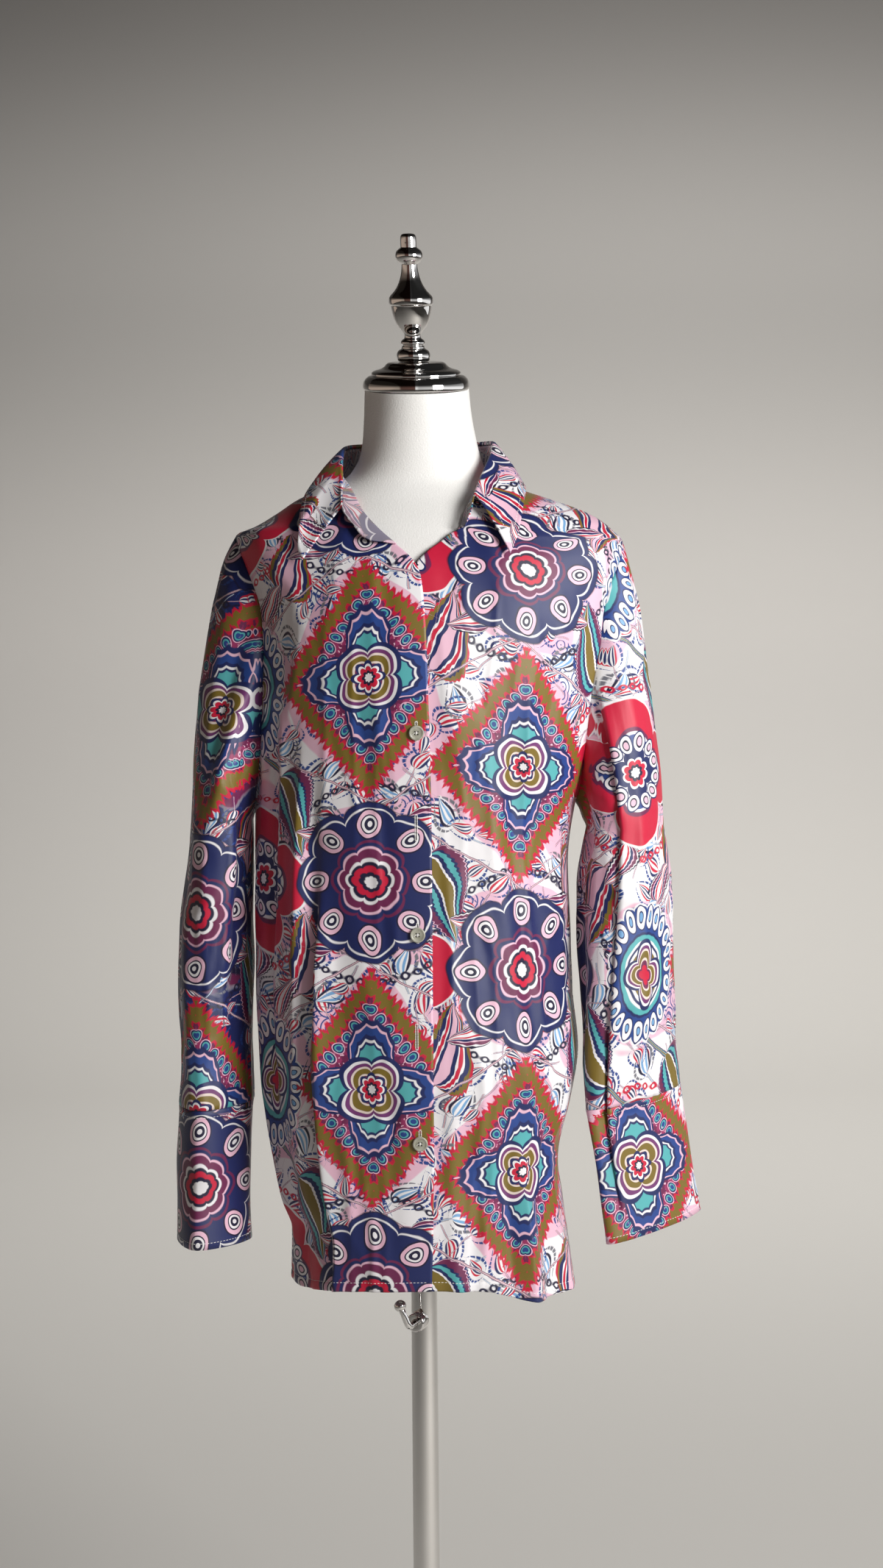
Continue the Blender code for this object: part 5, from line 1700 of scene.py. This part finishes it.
def lever_rings():
    """Rings along the bent rod of the clamp, up to its ball end."""
    out = np.array(CLAMP_OUT)
    across = np.array(CLAMP_ACROSS)
    start = np.array((0.0, 0.0, CLAMP_HEIGHT))
    bend = start + out * 33.0 - np.array((0.0, 0.0, 1.0))
    rise = unit(np.array((-0.36, -0.10, 0.93)))
    path = [(start + out * (TUBE_RADIUS + 0.6 + step), 2.95) for step in (0.0, 6.0, 12.0, 15.0)]
    one, two = start + out * 28.0, bend + rise * 5.5
    path += [(bowed(one, bend, two, part), 3.0) for part in np.linspace(0.0, 1.0, 12)]
    path += [(bend + rise * 12.0, 2.9), (bend + rise * 18.0, 2.85)]
    for turn in math.pi * np.linspace(0.16, 0.97, 14):
        path.append((bend + rise * (22.9 - 5.0 * math.cos(turn)), max(5.6 * math.sin(turn), 0.9)))
    ways = unit(np.gradient(np.array([centre for centre, _ in path]), axis=0))
    turns = np.radians(np.arange(0.0, 360.0, 12.0))[:, None]
    rings = []
    for (centre, radius), way in zip(path, ways):
        side = unit(across - way * (across @ way))
        third = np.cross(way, side)
        rings.append(centre + radius * (side * np.cos(turns) + third * np.sin(turns)))
    return np.array(rings)


def hard_pieces():
    """The form, the stand and the buttons."""
    skinned("form_shell", form_rings(), "form", "raised", "form_cover")
    for name, profile, node, body, place in (
        ("neck_cap_turned", CAP_PROFILE, "neck_cap", "raised", on_neck),
        ("finial_turned", FINIAL_PROFILE, "finial", "raised", finial_place),
        ("pole_tube_drawn", TUBE_PROFILE, "pole_tube", "stand", None),
        ("mast_drawn", MAST_PROFILE, "mast", "raised", None),
        ("stand_base_turned", BASE_PROFILE, "stand_base", "stand", None),
        ("clamp_nut_turned", NUT_PROFILE, "clamp_nut", "stand", clamp_place),
    ):
        spun(name, profile, node, body, "chrome", place)
    skinned("clamp_lever_bent", lever_rings(), "clamp_lever", "clamp", "chrome")
    for number, (x, height) in enumerate(BUTTON_PLACES):
        name = "button_" + str(number + 1)
        ways = lap_place(x, height, BUTTON_SEAT)

        def place(point, ways=ways):
            seat, across, up, out = ways
            return seat + across * point.x + up * point.y + out * point.z

        spun(name + "_turned", BUTTON_PROFILE, name, "raised", "shell_button", place, 48, 0.4)


def ramp_of(field, stops):
    """Colours by a field's value, eased between the stops."""
    node = laid(field.tree, "ValToRGB", {"Fac": field.socket})
    node.color_ramp.interpolation = "EASE"
    while len(node.color_ramp.elements) < len(stops):
        node.color_ramp.elements.new(0.5)
    for element, (place, colour) in zip(node.color_ramp.elements, stops):
        element.position = place
        element.color = (*colour, 1.0)
    return node.outputs["Color"]


# share of the way across the room from left to right, colour of the light from there
WORLD_ACROSS = [
    (0.06, (0.44, 0.35, 0.29)), (0.20, (0.34, 0.28, 0.235)), (0.24, (0.10, 0.055, 0.045)),
    (0.48, (0.12, 0.06, 0.05)), (0.50, (0.95, 0.95, 0.95)), (0.56, (0.55, 0.55, 0.55)),
    (0.74, (0.62, 0.62, 0.62)), (0.95, (1.05, 1.06, 1.08)),
]
# a quarter of the height in metres, tone of the floor and wall, darker upward as painted shade of
# the light falling off up the wall
SWEEP_TONES_WITH_PAINTED_SHADE = [
    (0.00, (0.710, 0.689, 0.653)), (0.30, (0.582, 0.563, 0.538)), (0.62, (0.317, 0.306, 0.292)),
    (0.92, (0.130, 0.124, 0.117)),
]
# share of the way from below to above
WORLD_HEIGHT = [
    (0.20, (0.55, 0.54, 0.52)), (0.52, (1.0, 1.0, 1.0)), (0.62, (0.30, 0.30, 0.30)),
    (0.72, (0.03, 0.03, 0.03)),
]


def sweep():
    """A pale floor that runs up into a far wall, darker toward its top: painted shade of the light
    falling off up the wall.
    """
    mesh = bmesh.new()
    line = [(-7.0, 0.0), (-1.0, 0.0), (3.0, 0.0)]
    for turn in (math.radians(7.5 * step) for step in range(13)):
        line.append((3.8 + 1.4 * math.sin(turn), 1.4 - 1.4 * math.cos(turn)))
    line += [(5.2, 2.4), (5.2, 3.6), (5.2, 7.0)]
    verts = [mesh.verts.new((-8.0, y, z)) for y, z in line]
    edges = [mesh.edges.new(pair) for pair in zip(verts, verts[1:])]
    run = bmesh.ops.extrude_edge_only(mesh, edges=edges)
    moved = [v for v in run["geom"] if isinstance(v, bmesh.types.BMVert)]
    bmesh.ops.translate(mesh, verts=moved, vec=(16.0, 0, 0))
    bmesh.ops.recalc_face_normals(mesh, faces=mesh.faces)
    thing = finished("studio_sweep", mesh)
    material, tree, shader = bare_material("pale_sweep_painted_shade", 0.9)
    place = tree.nodes.new("ShaderNodeTexCoord").outputs["Object"]
    (rise,) = fields(tree, "SeparateXYZ", place, ["Z"])
    # the tone darkens with height: painted shade, not a change of the sweep's own colour
    tree.links.new(ramp_of(rise * 0.25, SWEEP_TONES_WITH_PAINTED_SHADE), shader.inputs["Base Color"])
    thing.data.materials.append(material)


def studio():
    """The sweep, the light of a soft room and the lamps at the viewer's right."""
    sweep()
    world = bpy.data.worlds.new("soft_room")
    bpy.context.scene.world = world
    world.use_nodes = True
    tree = world.node_tree
    place = tree.nodes.new("ShaderNodeTexCoord").outputs["Generated"]
    x, z = fields(tree, "SeparateXYZ", place, "XZ")
    across = ramp_of(x * 0.5 + 0.5, WORLD_ACROSS)
    height = ramp_of(z * 0.5 + 0.5, WORLD_HEIGHT)
    room = mixed(tree, 1.0, across, height, blend_type="MULTIPLY")
    seen = tree.nodes.new("ShaderNodeLightPath").outputs["Is Camera Ray"]
    pale = mixed(tree, seen, room, (0.42, 0.41, 0.39, 1.0))
    tree.links.new(pale, tree.nodes["Background"].inputs["Color"])
    for name, at, to, wide, tall, power, tint in LIGHTS:
        data = bpy.data.lights.new(name, "AREA")
        data.shape = "RECTANGLE"
        data.size = wide
        data.size_y = tall
        data.energy = power
        data.color = tint
        lamp = bpy.data.objects.new(name, data)
        lamp.location = at
        lamp.rotation_euler = (Vector(to) - Vector(at)).to_track_quat("-Z", "Y").to_euler()
        bpy.context.scene.collection.objects.link(lamp)


# name, place, aim, width, height, power, tint
LIGHTS = [
    ("key_window", (1.5, -1.4, 1.65), (0.0, 0.0, 1.1), 0.75, 1.15, 58.0, (1.0, 0.99, 0.97)),
    ("wall_wash", (1.0, 2.2, 3.6), (0.6, 5.2, 0.7), 3.4, 0.6, 130.0, (1.0, 0.99, 0.97)),
]


CAMERA_PLACE = (0.021, -1.9, 1.2034)
# degrees
CAMERA_ROLL = -0.49
# the photograph's height, the focal length and the drop of the frame, all in its pixels
PHOTO_TALL = 2132.0
CAMERA_REACH = 2794.0
CAMERA_DROP = -171.0


def camera():
    """The photograph's view: level, at chest height, its frame a little below the middle."""
    data = bpy.data.cameras.new("view_camera")
    data.sensor_fit = "VERTICAL"
    data.sensor_height = 36.0
    data.lens = data.sensor_height * CAMERA_REACH / PHOTO_TALL
    data.shift_y = CAMERA_DROP / PHOTO_TALL
    thing = bpy.data.objects.new("view_camera", data)
    place = Matrix.Translation(CAMERA_PLACE)
    turn = Euler((math.pi / 2.0, 0, 0)).to_matrix().to_4x4()
    thing.matrix_world = place @ turn @ Matrix.Rotation(math.radians(CAMERA_ROLL), 4, "Z")
    bpy.context.scene.collection.objects.link(thing)
    bpy.context.scene.camera = thing
    bpy.context.scene.view_settings.view_transform = "Standard"


kept = cloth_pieces()
stitches(kept)
buttonholes()
button_trim()
hard_pieces()
studio()
camera()
